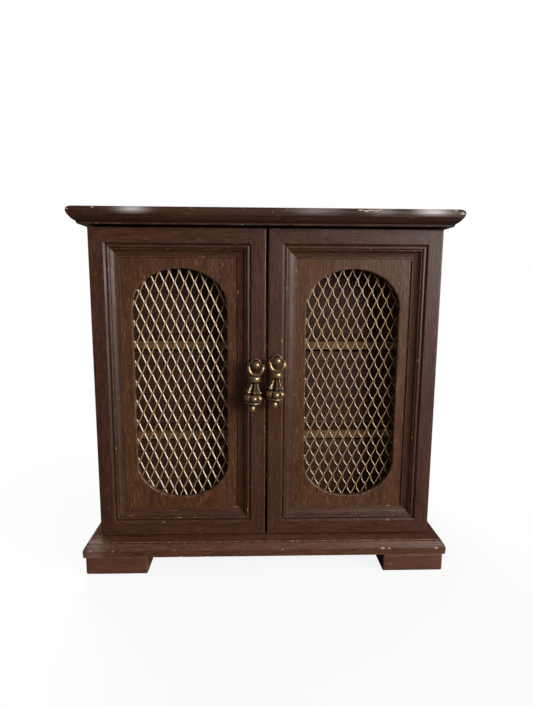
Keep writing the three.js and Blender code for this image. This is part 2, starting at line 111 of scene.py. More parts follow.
def rounded_outline(corners: list[tuple[float, float, float]], step: float, closed: bool = True,
                    arc_points: int = 6) -> Array:
    """An outline whose corners are softened, with no stretch longer than a step.

    Each corner C of radius r becomes the curve (1-t)^2 P + 2t(1-t) C + t^2 Q, where P and Q lie
    r away from C along its two sides; straight stretches are then divided evenly.

    Args:
        corners: Each corner as (a, b, radius).
        step: The longest stretch allowed between two points.
        closed: Whether the last corner joins the first.
        arc_points: Points on each softened corner.

    Returns:
        The outline's points as rows of (a, b).
    """
    places = np.array([corner[:2] for corner in corners])
    count = len(corners)
    t = np.linspace(0, 1, arc_points)[:, None]
    points: list[Array] = []
    for index, (_, _, radius) in enumerate(corners):
        here = places[index]
        before, after = places[(index - 1) % count], places[(index + 1) % count]
        if radius == 0 or (not closed and index in (0, count - 1)):
            points.append(here[None])
            continue
        start = here + (before - here) / np.linalg.norm(before - here) * radius
        end = here + (after - here) / np.linalg.norm(after - here) * radius
        points.append((1 - t) ** 2 * start + 2 * t * (1 - t) * here + t ** 2 * end)
    line = np.concatenate(points)
    ends = np.roll(line, -1, axis=0) if closed else line[1:]
    starts = line if closed else line[:-1]
    dense = []
    for start, end in zip(starts, ends):
        parts = max(1, math.ceil(np.linalg.norm(end - start) / step))
        dense.append(start + (end - start) * (np.arange(parts) / parts)[:, None])
    if not closed:
        dense.append(line[-1:])
    return np.concatenate(dense)


def edge_scores(outline: Array, reach: float, closed: bool = True) -> Array:
    """How strongly an outline turns near each point: +1 on an arris, -1 in a groove.

    The turning angle at every point is spread over its neighbours by a Gaussian of the distance
    along the outline, then divided by the turn that scores 1.

    Args:
        outline: Points as rows of (a, b).
        reach: The Gaussian's width.
        closed: Whether the last point joins the first.

    Returns:
        One score for each point.
    """
    following = np.roll(outline, -1, axis=0)
    ahead = following - outline
    behind = outline - np.roll(outline, 1, axis=0)
    turn = np.arctan2(behind[:, 0] * ahead[:, 1] - behind[:, 1] * ahead[:, 0], (behind * ahead).sum(1))
    if not closed:
        turn[[0, -1]] = 0
    along = np.concatenate([[0], np.cumsum(np.linalg.norm(ahead[:-1], axis=1))])
    apart = np.abs(along[:, None] - along[None])
    if closed:
        whole = along[-1] + np.linalg.norm(ahead[-1])
        apart = np.minimum(apart, whole - apart)
    score = (np.exp(-((apart / reach) ** 2)) * turn[None]).sum(1)
    area = 0.5 * (outline[:, 0] * following[:, 1] - outline[:, 1] * following[:, 0]).sum()
    return np.clip(score * np.sign(area) / TURN_FOR_FULL_SCORE, -1, 1)


def moulding_outline(corners_mm: list[tuple[float, float, float]], step: float, reach: float,
                     lift_mm: float = 0.0, closed: bool = True) -> tuple[Array, Array]:
    """A moulding's section, given in millimetres, and its edge scores.

    Args:
        corners_mm: Each corner as (a, b, radius).
        step: The longest stretch allowed between two points.
        reach: Width over which the edge scores are spread.
        lift_mm: Added to every b.
        closed: Whether the last corner joins the first.

    Returns:
        The outline in metres, and one score for each of its points.
    """
    scaled = [(a * MM, (lift_mm + b) * MM, r * MM) for a, b, r in corners_mm]
    outline = rounded_outline(scaled, step, closed)
    return outline, edge_scores(outline, reach, closed)


def catmull_rom(given: Array, per_span: int) -> Array:
    """A smooth curve through points.

    Between b and c, with neighbours a and d, the curve is half of
    2b + (c-a)t + (2a-5b+4c-d)t^2 + (3b-a-3c+d)t^3.

    Args:
        given: The points, which need not be evenly spaced.
        per_span: Points made for each stretch between two given ones.

    Returns:
        The curve's points, ending with the last given one.
    """
    padded = np.concatenate([given[:1], given, given[-1:]])
    t = (np.arange(per_span) / per_span)[:, None]
    spans = []
    for a, b, c, d in zip(padded, padded[1:], padded[2:], padded[3:]):
        spans.append(0.5 * (2 * b + (c - a) * t + (2 * a - 5 * b + 4 * c - d) * t ** 2
                            + (3 * b - a - 3 * c + d) * t ** 3))
    return np.concatenate([*spans, given[-1:]])


def tube_faces(rows: int, sides: int, start: int = 0) -> list[list[int]]:
    """Faces of a closed tube with flat ends.

    Args:
        rows: Number of rings.
        sides: Points on a ring.
        start: Number of the first point.

    Returns:
        The faces, sides first.
    """
    first = [start + i for i in range(sides)]
    last = [start + (rows - 1) * sides + i for i in reversed(range(sides))]
    return [*(quad_grid(rows, sides, wrap_columns=True) + start).tolist(), first, last]


@dataclass(frozen=True)
class Nicks:
    """Small chips knocked out of a piece's arrises.

    Each chip is a hollow of depth * exp(-(distance / reach)^2) along the surface normal, where
    the distance is shortened along the grain, so that chips are long and shallow.
    """

    count: int
    depth: float = 0.35 * MM
    reach: float = 0.8 * MM
    grain: Grain = Grain.ACROSS
    stretch: float = 2.2
    seed: int = 1
    spots: tuple[tuple[float, float, float], ...] = ()


@dataclass
class Shell:
    """A closed surface and what each of its points knows.

    The edge score is +1 on an arris and -1 in a groove. The wear and shade is 1 on a chip and in a dirty
    recess of brass; on the mesh it is the tarnish of the bonds and the painted shade that makes the
    strands facing down darker gold. The sheen and scuff is the share of pale colour: a painted sheen
    on the cap's upper edge and a real scuff on the base.
    """

    points: Array
    faces: list[list[int]]
    edge: Array
    sharp_degrees: float = 50.0
    wear_and_shade: Array | None = None
    sheen_and_scuff: Array | None = None

    def outward(self) -> None:
        """Turns the faces over if the volume that they enclose comes out negative."""
        volume = 0.0
        quads = np.array([face for face in self.faces if len(face) == 4])
        fans = [face for face in self.faces if len(face) != 4]
        triangles = [quads[:, [0, 1, 2]], quads[:, [0, 2, 3]]] if len(quads) else []
        for face in fans:
            triangles.append(np.array([[face[0], face[i], face[i + 1]] for i in range(1, len(face) - 1)]))
        for corner in triangles:
            a, b, c = (self.points[corner[:, i]] for i in range(3))
            volume += float((a * np.cross(b, c)).sum())
        if volume < 0:
            self.faces = [face[::-1] for face in self.faces]

    def build(self, name: str, nicks: Nicks | None = None) -> bpy.types.Object:
        """Makes the Blender object, with its chips cut and its attributes written.

        Args:
            name: The piece's name.
            nicks: Chips to cut along the arrises.

        Returns:
            The object, linked to the scene.
        """
        self.outward()
        mesh = bpy.data.meshes.new(name)
        mesh.from_pydata(self.points.tolist(), [], self.faces)
        mesh.update()
        wear_and_shade = np.zeros(len(self.points)) if self.wear_and_shade is None else self.wear_and_shade
        if nicks is not None and nicks.count:
            normals = np.empty(len(self.points) * 3, np.float32)
            mesh.vertex_normals.foreach_get("vector", normals)
            hollow, chipped = chips(self.points, self.edge, nicks)
            moved = self.points - normals.reshape(-1, 3) * hollow[:, None]
            mesh.vertices.foreach_set("co", moved.astype(np.float32).ravel())
            wear_and_shade = np.maximum(wear_and_shade, chipped)
        sheen_and_scuff = np.zeros(len(self.points)) if self.sheen_and_scuff is None else self.sheen_and_scuff
        for attribute, values in (("edge", self.edge), ("wear_and_shade", wear_and_shade), ("sheen_and_scuff", sheen_and_scuff)):
            layer = mesh.attributes.new(attribute, "FLOAT", "POINT")
            layer.data.foreach_set("value", np.asarray(values, np.float32))
        mesh.shade_smooth()
        mesh.set_sharp_from_angle(angle=math.radians(self.sharp_degrees))
        piece = bpy.data.objects.new(name, mesh)
        bpy.context.scene.collection.objects.link(piece)
        return piece


def chips(points: Array, edge: Array, nicks: Nicks) -> tuple[Array, Array]:
    """Depth of the hollows at each point, and how far each point is chipped.

    Args:
        points: The surface's points.
        edge: Their edge scores; chips are centred only on strong arrises.
        nicks: How many, how deep and how wide.

    Returns:
        Depths in metres, and chip strengths from 0 to 1.
    """
    rng = np.random.default_rng(nicks.seed)
    places = np.flatnonzero(edge > STRONG_EDGE)
    hollow, strength = np.zeros(len(points)), np.zeros(len(points))
    if not len(places):
        return hollow, strength
    shrink = np.ones(3)
    shrink[nicks.grain.value] = 1 / nicks.stretch
    chosen = points[rng.choice(places, nicks.count)]
    centres = [(centre, rng.uniform(0.1, 0.75) ** 1.5) for centre in chosen]
    front = points[:, 1].min()
    for x, z, size in nicks.spots:
        nearest = np.argmin(np.linalg.norm(points - np.array([x, front, z]), axis=1))
        centres.append((points[nearest], size))
    for centre, size in centres:
        distance = np.linalg.norm((points - centre) * shrink, axis=1) / (nicks.reach * (0.5 + size))
        bump = np.exp(-(distance ** 2))
        hollow = np.maximum(hollow, bump * nicks.depth * size)
        strength = np.maximum(strength, bump * min(1.0, 0.5 + 0.6 * size))
    return hollow, strength


def merged(points: Array, faces: Array) -> tuple[Array, list[list[int]]]:
    """Joins points that share a place, so that grids meeting at an edge become one surface.

    Args:
        points: All the grids' points.
        faces: All the grids' faces.

    Returns:
        The points that are left, and the faces renumbered.
    """
    cells = np.round(points / SAME_PLACE)
    _, first, same = np.unique(cells, axis=0, return_index=True, return_inverse=True)
    return points[first], same.reshape(-1)[faces].tolist()


def board(low: Array, high: Array, radius: float, step: float = 4 * MM) -> Shell:
    """A board with softened edges.

    Each face is a grid on the plain box. A point p is drawn to q, its nearest point in the box
    shrunk by the radius, and set at q + radius * (p - q) / |p - q|.

    Args:
        low: Lowest corner.
        high: Highest corner.
        radius: Radius of the softened edges.
        step: Spacing of the grid away from the edges.

    Returns:
        The closed surface.
    """
    low, high = np.asarray(low, float), np.asarray(high, float)
    near = radius * np.linspace(0, 1, 5)
    lines = []
    for a, b in zip(low, high):
        inner = max(2, math.ceil((b - a - 2 * radius) / step) + 1)
        plain = np.linspace(a + radius, b - radius, inner)
        lines.append(np.concatenate([a + near[:-1], plain, b - near[-2::-1]]))
    points, faces, start = [], [], 0
    for axis in range(3):
        u, v = [i for i in range(3) if i != axis]
        grid_u, grid_v = np.meshgrid(lines[u], lines[v], indexing="ij")
        for value in (low[axis], high[axis]):
            plane = np.empty((grid_u.size, 3))
            plane[:, axis], plane[:, u], plane[:, v] = value, grid_u.ravel(), grid_v.ravel()
            quads = quad_grid(*grid_u.shape) + start
            turned = (value == low[axis]) != (axis == 1)
            faces.append(quads[:, ::-1] if turned else quads)
            points.append(plane)
            start += len(plane)
    cloud, polygons = merged(np.concatenate(points), np.concatenate(faces))
    core = np.clip(cloud, low + radius, high - radius)
    away = cloud - core
    length = np.linalg.norm(away, axis=1, keepdims=True)
    second = np.sort(np.abs(away / radius), axis=1)[:, 1]
    return Shell(core + away / length * radius, polygons, np.clip(second / 0.5, 0, 1))


def swept_member(section: Array, scores: Array, corner: Array, inward: Array, along: Array,
                 length: float, mitre_gap: float, step: float) -> Shell:
    """One mitred frame member: a section carried along an edge of the frame.

    A point (w, d) of the section lies at corner + inward * w + depth * d + along * s, where s
    runs from w + gap to length - w - gap, so that both ends are cut at 45 degrees.

    Args:
        section: Closed outline as rows of (w, d).
        scores: Edge scores of the outline.
        corner: The frame's outer front corner where the member starts.
        inward: Unit vector towards the middle of the frame.
        along: Unit vector along the member.
        length: Outer length of the member.
        mitre_gap: Distance kept from each mitre plane.
        step: Spacing of the sections.

    Returns:
        The closed surface.
    """
    rows = math.ceil(length / step) + 1
    share = np.linspace(0, 1, rows)[:, None]
    w, d = section[:, 0][None], section[:, 1][None]
    s = (w + mitre_gap) * (1 - share) + (length - w - mitre_gap) * share
    depth = np.array([0.0, 1.0, 0.0])
    grid = corner + inward * (w + 0 * s)[..., None] + depth * (d + 0 * s)[..., None] + along * s[..., None]
    return Shell(grid.reshape(-1, 3), tube_faces(rows, len(section)), np.tile(scores, rows))


def moulded_slab(section: Array, scores: Array, half_width: float, front: float, back: float,
                 step: float) -> Shell:
    """A slab with a moulding carried round its left, front and right edges.

    A point (inset, z) of the section is carried along the left, front and right sides of the
    rectangle that lies that inset inside the slab, so that the moulding mitres at both front
    corners. The top, the bottom and the square back are flat.

    Args:
        section: Open outline as rows of (inset, z), from the bottom face to the top face.
        scores: Edge scores of the outline.
        half_width: Half the slab's width.
        front: Y of the foremost point.
        back: Y of the back edge.
        step: Spacing of the sections.

    Returns:
        The closed surface.
    """
    inset, z = section[:, 0][None], section[:, 1][None]
    side_rows = math.ceil((back - front) / step) + 1
    front_rows = math.ceil(2 * half_width / step) + 1
    side = np.linspace(0, 1, side_rows)[:, None]
    across = np.linspace(0, 1, front_rows)[1:-1, None]
    side_y = back + (front + inset - back) * side
    front_x = (half_width - inset) * (2 * across - 1)
    x = np.concatenate([0 * side_y - (half_width - inset), front_x, (0 * side_y + half_width - inset)[::-1]])
    y = np.concatenate([side_y, 0 * front_x + front + inset, side_y[::-1]])
    grid = np.stack([x, y, z + 0 * x], axis=2)
    rows, count = x.shape
    faces = quad_grid(rows, count).tolist()
    faces.append([r * count for r in range(rows)])
    faces.append([r * count + count - 1 for r in reversed(range(rows))])
    faces.append(list(range(count - 1, -1, -1)) + [(rows - 1) * count + i for i in range(count)])
    return Shell(grid.reshape(-1, 3), faces, np.tile(scores, rows))


def revolved(profile: Array, sides: int, centre: Array, axis: Grain, widen: Array | None = None) -> Shell:
    """A turned body: radius and height carried round an axis.

    A point lies at centre + height along the axis + radius * (1 + widen) in the direction of
    each angle. The profile starts and ends on the axis, and each end is one shared point.

    Args:
        profile: Rows of (radius, height), from one pole to the other.
        sides: Number of angles.
        centre: The origin of heights on the axis.
        axis: The axis that the body is turned about.
        widen: Optional share added to the radius for each profile point and angle.

    Returns:
        The closed surface.
    """
    angle = np.arange(sides) / sides * 2 * math.pi
    body = profile[1:-1]
    radius = body[:, 0][:, None] * np.ones(sides)[None]
    if widen is not None:
        radius = radius * (1 + widen[1:-1])
    height = body[:, 1][:, None] + 0 * radius
    first, second = [i for i in range(3) if i != axis.value]
    points = np.zeros((len(body), sides, 3))
    points[..., first] = radius * np.cos(angle)
    points[..., second] = radius * np.sin(angle)
    points[..., axis.value] = height
    poles = np.zeros((2, 3))
    poles[:, axis.value] = profile[[0, -1], 1]
    cloud = np.concatenate([points.reshape(-1, 3), poles]) + np.asarray(centre)
    faces = quad_grid(len(body), sides, wrap_columns=True).tolist()
    low_pole, high_pole = len(body) * sides, len(body) * sides + 1
    last = (len(body) - 1) * sides
    for i in range(sides):
        after = (i + 1) % sides
        faces.append([low_pole, i, after])
        faces.append([high_pole, last + after, last + i])
    scores = np.clip(edge_scores(profile, 0.5 * MM, closed=False), -1, 1)
    edge = np.concatenate([np.repeat(scores[1:-1], sides), scores[[0, -1]]])
    return Shell(cloud, faces, edge)


def smooth_profile(corners_mm: list[tuple[float, float]]) -> Array:
    """A smooth turned profile that never crosses its axis.

    Args:
        corners_mm: Points (radius, height) in millimetres.

    Returns:
        The profile in metres.
    """
    curve = catmull_rom(np.array(corners_mm) * MM, 6)
    curve[:, 0] = np.maximum(curve[:, 0], 0)
    return curve


# ---------------------------------------------------------------- materials


class Graph:
    """A material's nodes, with short ways to add and join them."""

    def __init__(self, name: str) -> None:
        """Starts a material that holds one Principled shader.

        Args:
            name: The material's name.
        """
        self.material = bpy.data.materials.new(name)
        self.material.use_nodes = True
        self.tree = self.material.node_tree
        self.shader = self.tree.nodes["Principled BSDF"]
        self.place = self.tree.nodes.new("ShaderNodeTexCoord").outputs["Object"]

    def add(self, kind: str, inputs: dict[str | int, object], **settings: object) -> bpy.types.Node:
        """Adds a node.

        Args:
            kind: The node's type.
            inputs: A value or a link for each named or numbered input.
            **settings: The node's options.

        Returns:
            The node.
        """
        node = self.tree.nodes.new(kind)
        for key, value in settings.items():
            setattr(node, key, value)
        for key, value in inputs.items():
            if isinstance(value, bpy.types.NodeSocket):
                self.tree.links.new(value, node.inputs[key])
            else:
                node.inputs[key].default_value = value
        return node

    def noise(self, frequency: float | tuple[float, float, float], detail: float = 2.0,
              rough: float = 0.5, distortion: float = 0.0, shift: float = 0.0) -> Socket:
        """A noise value about 0.5 on the object's own coordinates.

        Args:
            frequency: Features per metre, for all axes or for each.
            detail: Finer layers added.
            rough: Strength of the finer layers.
            distortion: How far the pattern is pushed about.
            shift: Where in the pattern it starts.

        Returns:
            The value.
        """
        each = frequency if isinstance(frequency, tuple) else (frequency,) * 3
        place = self.add("ShaderNodeMapping", {"Vector": self.place, "Scale": each,
                                               "Location": (shift,) * 3})
        node = self.add("ShaderNodeTexNoise", {"Vector": place.outputs["Vector"], "Scale": 1.0,
                                               "Detail": detail, "Roughness": rough,
                                               "Distortion": distortion})
        return node.outputs["Fac"]

    def ramp(self, value: Socket, low: float, high: float, start: float = 0.0, end: float = 1.0) -> Socket:
        """Maps one span of a value to another, and holds it beyond both ends.

        Args:
            value: The value.
            low: Where the span starts.
            high: Where it ends, which may be below its start.
            start: What low becomes.
            end: What high becomes.

        Returns:
            The mapped value.
        """
        node = self.add("ShaderNodeMapRange", {"Value": value, "From Min": low, "From Max": high,
                                               "To Min": start, "To Max": end})
        return node.outputs["Result"]

    def maths(self, operation: str, a: Socket | float, b: Socket | float) -> Socket:
        """One sum on two values, held between 0 and 1."""
        return self.add("ShaderNodeMath", {0: a, 1: b}, operation=operation, use_clamp=True).outputs[0]

    def mix(self, share: Socket | float, a: Socket | Colour, b: Socket | Colour) -> Socket:
        """Two colours mixed by a share, from all of the first to all of the second."""
        first, second = [(*c, 1.0) if isinstance(c, tuple) else c for c in (a, b)]
        return self.add("ShaderNodeMix", {0: share, 6: first, 7: second}, data_type="RGBA").outputs[2]

    def attribute(self, name: str) -> Socket:
        """A value stored on the surface's points, or 0 where there is none."""
        return self.add("ShaderNodeAttribute", {}, attribute_name=name).outputs["Fac"]

    def bump(self, height: Socket, distance: float) -> None:
        """Raises the shader's normal by a height."""
        node = self.add("ShaderNodeBump", {"Height": height, "Distance": distance})
        self.tree.links.new(node.outputs["Normal"], self.shader.inputs["Normal"])

    def set(self, **values: float | Socket) -> None:
        """Sets or links shader inputs.

        Args:
            **values: A value or a link for each input, named with underscores for spaces.
        """
        for key, value in values.items():
            socket = self.shader.inputs[key.replace("_", " ")]
            if isinstance(value, bpy.types.NodeSocket):
                self.tree.links.new(value, socket)
            else:
                socket.default_value = value


def shade(colour: Colour, factor: float, lift: float = 0.0) -> Colour:
    """A colour made darker or lighter, and never past full."""
    return tuple(min(1.0, factor * c + lift) for c in colour)


@dataclass(frozen=True)
class WoodFinish:
    """Stained and lacquered wood: long bands, fibre streaks, open pores, rubbed and chipped edges, painted
    shade and painted sheen.
    """

    name: str
    slot: str
    grain: Grain
    dark: Colour
    light: Colour
    roughness: float = 0.46
    coat: float = 0.15
    coat_roughness: float = 0.36
    # Painted shade: how much darker the wood is painted towards the bottom.
    fade: float = 0.0
    # How strongly arrises are rubbed to the bare colour; on the window panel this paints a pale sheen.
    rub: float = 0.4
    flecks: float = 0.45
    pores: float = 0.5
    specks: float = 0.5
    # Colour of bare wood in chips and rubbed edges; on the window panel it is the colour of a painted sheen.
    bare: Colour = (0.42, 0.24, 0.15)
    # Pale colour of the painted sheen on the cap's upper edge and of the real scuff on the base.
    bloom: Colour = (0.80, 0.76, 0.73)
    dust: Colour = (0.30, 0.24, 0.20)
    shift: float = 0.0

    def along(self, near: float, far: float) -> tuple[float, float, float]:
        """Frequencies for each axis: near along the grain, far across it."""
        return tuple(near if axis == self.grain.value else far for axis in range(3))

    def figure(self, graph: Graph) -> tuple[Socket, Socket, Socket]:
        """The grain itself.

        Args:
            graph: The material's nodes.

        Returns:
            Its colour, its fibres and its pores.
        """
        bands = graph.noise(self.along(8, 80), 3.0, 0.55, 0.8, self.shift)
        fibres = graph.noise(self.along(60, 1050), 3.0, 0.62, shift=self.shift)
        pores = graph.noise(self.along(150, 1500), 1.0, shift=self.shift + 3)
        flecks = graph.noise(self.along(210, 900), 2.0, 0.6, shift=self.shift + 7)
        tone = graph.maths("ADD", graph.ramp(bands, 0.3, 0.7, 0, 0.42),
                           graph.ramp(fibres, 0.32, 0.68, 0, 0.58))
        colour = graph.mix(tone, self.dark, self.light)
        colour = graph.mix(graph.ramp(flecks, 0.58, 0.72, 0, self.flecks), colour,
                           shade(self.light, 1.75, 0.012))
        colour = graph.mix(graph.ramp(pores, 0.58, 0.7, 0, self.pores), colour, shade(self.dark, 0.3))
        return colour, fibres, pores

    def worn(self, graph: Graph, colour: Socket, fibres: Socket) -> Socket:
        """Lays painted shade (darker towards the bottom and in grooves), painted sheen, scuffs, rubbed edges,
        dust and chips over the grain.

        Args:
            graph: The material's nodes.
            colour: The grain's colour.
            fibres: The grain's fibres.

        Returns:
            The worn colour.
        """
        height = graph.add("ShaderNodeSeparateXYZ", {0: graph.place}).outputs["Z"]
        # Painted shade: darker towards the bottom, where less light falls.
        colour = graph.mix(graph.ramp(height, 0.19, 0.05, 0, self.fade), colour, shade(self.dark, 0.6))
        # Painted sheen and scuff: pale patches on the cap's upper edge stand in for reflected light; on the
        # base the same colour is a real scuff.
        cloudy = graph.maths("MULTIPLY", graph.attribute("sheen_and_scuff"), graph.ramp(fibres, 0.25, 0.75, 0.45, 1))
        colour = graph.mix(cloudy, colour, self.bloom)
        edge = graph.attribute("edge")
        # Painted shade: darker in the grooves, where shade falls.
        colour = graph.mix(graph.ramp(edge, -0.12, -0.7, 0, 0.8), colour, shade(self.dark, 0.25))
        # Rubbed edges; on the window panel's arris they are a painted pale grey sheen, light on the varnished
        # edge.
        patchy = graph.noise(260, 3.0, 0.65)
        rubbed = graph.maths("MULTIPLY", graph.ramp(edge, 0.3, 0.95),
                             graph.ramp(patchy, 0.42, 0.66, 0, self.rub))
        colour = graph.mix(rubbed, colour, shade(self.bare, 0.5))
        specks = graph.ramp(graph.noise(850, 1.0), 0.735, 0.77, 0, self.specks)
        colour = graph.mix(specks, colour, self.dust)
        crumbly = graph.noise(self.along(600, 1500), 3.0, 0.7)
        ragged = graph.maths("ADD", graph.attribute("wear_and_shade"), graph.ramp(crumbly, 0.25, 0.75, -0.4, 0.4))
        raw = graph.mix(crumbly, shade(self.bare, 0.5), self.bare)
        return graph.mix(graph.ramp(ragged, 0.5, 0.6), colour, raw)

    def material(self) -> bpy.types.Material:
        """Builds the node material.

        Returns:
            The material.
        """
        graph = Graph(self.name)
        colour, fibres, pores = self.figure(graph)
        rough = graph.ramp(graph.noise(45, 3.0), 0.3, 0.7, self.roughness - 0.07, self.roughness + 0.1)
        graph.set(Base_Color=self.worn(graph, colour, fibres), Roughness=rough, Coat_Weight=self.coat,
                  Coat_Roughness=self.coat_roughness, Specular_IOR_Level=0.32)
        grooves = graph.maths("SUBTRACT", fibres, graph.ramp(pores, 0.56, 0.68, 0, 0.5))
        graph.bump(grooves, 0.09 * MM)
        return graph.material


@dataclass(frozen=True)
class BrassFinish:
    """Antiqued brass: worn bright on high places, nearly black in the crevices."""

    name: str
    slot: str
    bright: Colour = (0.46, 0.33, 0.17)
    warm: Colour = (0.27, 0.15, 0.065)
    dark: Colour = (0.010, 0.007, 0.005)
    roughness: float = 0.25
    patina: float = 0.7

    def material(self) -> bpy.types.Material:
        """Builds the node material.

        Returns:
            The material.
        """
        graph = Graph(self.name)
        cloudy = graph.noise(420, 4.0, 0.6)
        fine = graph.noise(2600)
        edge, recess = graph.attribute("edge"), graph.attribute("wear_and_shade")
        colour = graph.mix(graph.ramp(cloudy, 0.35, 0.68), self.warm, self.bright)
        high = graph.maths("MULTIPLY", graph.ramp(edge, 0.2, 0.9), 0.45)
        colour = graph.mix(high, colour, shade(self.bright, 1.15, 0.08))
        low = graph.maths("ADD", graph.ramp(edge, -0.25, -0.9), recess)
        grime = graph.maths("MULTIPLY", graph.ramp(fine, 0.45, 0.72), self.patina * 0.5)
        dirt = graph.maths("ADD", graph.maths("MULTIPLY", low, graph.ramp(cloudy, 0.2, 0.5, 0.75, 1)), grime)
        colour = graph.mix(dirt, colour, self.dark)
        rough = graph.maths("ADD", graph.ramp(fine, 0.3, 0.7, self.roughness - 0.05, self.roughness + 0.1),
                            graph.maths("MULTIPLY", dirt, 0.35))
        graph.set(Base_Color=colour, Roughness=rough, Metallic=graph.ramp(dirt, 0.3, 1.0, 0.78, 0.3))
        graph.bump(cloudy, 0.05 * MM)
        return graph.material


@dataclass(frozen=True)
class PlainFinish:
    """Metal sheet, moulded plastic or velvet: one colour with mottling, sheen and fine bump.

    A finish with a tarnish-and-shade colour turns to it by the wear and shade of its points, and darker
    at the bonds, where the edge score is high. On the mesh this paints shade on the strands that face down.
    """

    name: str
    slot: str
    colour: Colour
    roughness: float
    metallic: float = 0.0
    sheen: float = 0.0
    mottle: float = 0.25
    frequency: float = 900.0
    bump: float = 0.03 * MM
    tarnish_and_shade: Colour | None = None

    def material(self) -> bpy.types.Material:
        """Builds the node material.

        Returns:
            The material.
        """
        graph = Graph(self.name)
        cells = graph.noise(self.frequency, 3.0, 0.6)
        broad = graph.noise(self.frequency / 18)
        tone = graph.maths("ADD", graph.ramp(cells, 0.3, 0.7, 0, 0.5), graph.ramp(broad, 0.3, 0.7, 0, 0.5))
        colour = graph.mix(tone, shade(self.colour, 1 - self.mottle), shade(self.colour, 1 + self.mottle))
        if self.tarnish_and_shade is not None:
            # Painted shade and tarnish: the points' wear-and-shade value turns the colour to the darker gold.
            colour = graph.mix(graph.attribute("wear_and_shade"), colour, self.tarnish_and_shade)
            joint = graph.ramp(graph.attribute("edge"), 0.1, 0.7, 0, 0.95)
            colour = graph.mix(joint, colour, shade(self.tarnish_and_shade, 0.42))
        graph.set(Base_Color=colour, Metallic=self.metallic,
                  Roughness=graph.ramp(cells, 0.3, 0.7, self.roughness - 0.06, self.roughness + 0.06),
                  Sheen_Weight=self.sheen)
        graph.bump(cells, self.bump)
        return graph.material


Finish = WoodFinish | BrassFinish | PlainFinish


class Palette:
    """Every finish on the piece, each made into a material once."""

    def __init__(self) -> None:
        """Starts with no materials made."""
        self.made: dict[str, bpy.types.Material] = {}

    def of(self, finish: Finish) -> bpy.types.Material:
        """The finish's material.

        Args:
            finish: The finish.

        Returns:
            Its material, made when it is first asked for.
        """
        if finish.name not in self.made:
            self.made[finish.name] = finish.material()
        return self.made[finish.name]

    def dress(self, piece: bpy.types.Object, finish: Finish) -> None:
        """Gives a piece one material on all its faces.

        Args:
            piece: The piece.
            finish: Its finish.
        """
        piece.data.materials.clear()
        piece.data.materials.append(self.of(finish))


palette = Palette()

WALNUT_DARK: Colour = (0.0265, 0.0083, 0.0038)
WALNUT_LIGHT: Colour = (0.090, 0.0325, 0.0155)


def walnut(name: str, slot: str, grain: Grain, shift: float, **changes: object) -> WoodFinish:
    """The dark walnut stain, turned to a member's grain.

    Args:
        name: The material's name.
        slot: Stored on the finish; not used.
        grain: The grain's direction.
        shift: Where in the pattern it starts.
        **changes: What differs from the plain stain.

    Returns:
        The finish.
    """
    given = {"dark": WALNUT_DARK, "light": WALNUT_LIGHT, **changes}
    return WoodFinish(name=name, slot=slot, grain=grain, shift=shift, **given)


BRASS = BrassFinish("antique_brass", "antique_brass")
# The mesh's tarnish colour is also the painted shade of its strands that face down.
MESH_METAL = PlainFinish("brassed_mesh", "mesh_metal", (0.62, 0.54, 0.42), 0.36, metallic=0.05, mottle=0.12,
                         frequency=700, bump=0.02 * MM, tarnish_and_shade=(0.40, 0.225, 0.088))
STEEL = PlainFinish("strike_steel", "strike_steel", (0.5, 0.5, 0.5), 0.35, metallic=1.0, mottle=0.15)
CATCH = PlainFinish("catch_plastic", "catch_plastic", (0.03, 0.026, 0.022), 0.55)
VELVET = PlainFinish("red_velvet", "velvet", (0.13, 0.012, 0.02), 0.85, sheen=0.9, mottle=0.3,
                     frequency=2200, bump=0.12 * MM)


def finish_piece(piece: bpy.types.Object, finish: Finish, body: str, *nodes: str) -> bpy.types.Object:
    """Dresses a piece, puts it on its body, and lets it stand for its CAD nodes.

    Args:
        piece: The new piece.
        finish: Its finish.
        body: The body that it rides on.
        nodes: The CAD nodes that it replaces.

    Returns:
        The piece.
    """
    palette.dress(piece, finish)
    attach(piece, body)
    if nodes:
        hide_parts(*nodes)
    log.info("%s rides on %s", piece.name, body)
    return piece


def corners(*nodes: str) -> tuple[Array, Array]:
    """Lowest and highest corner of some CAD nodes together.

    Args:
        *nodes: The nodes' names.

    Returns:
        The two corners.
    """
    lows, highs = zip(*(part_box(node) for node in nodes))
    return np.min(np.array(lows), axis=0), np.max(np.array(highs), axis=0)


def finish_board(node: str, suffix: str, finish: Finish, body: str, radius: float, step: float,
                 nicks: Nicks | None = None) -> None:
    """Replaces a CAD node by a finished board of the same size.

    Args:
        node: The CAD node.
        suffix: Ends the new piece's name.
        finish: Its finish.
        body: The body that it rides on.
        radius: Radius of its softened edges.
        step: Spacing of its grid.
        nicks: Chips to cut along its arrises.
    """
    low, high = corners(node)
    piece = board(low, high, radius, step).build(f"{node}_{suffix}", nicks)
    finish_piece(piece, finish, body, node)


# ---------------------------------------------------------------- doors


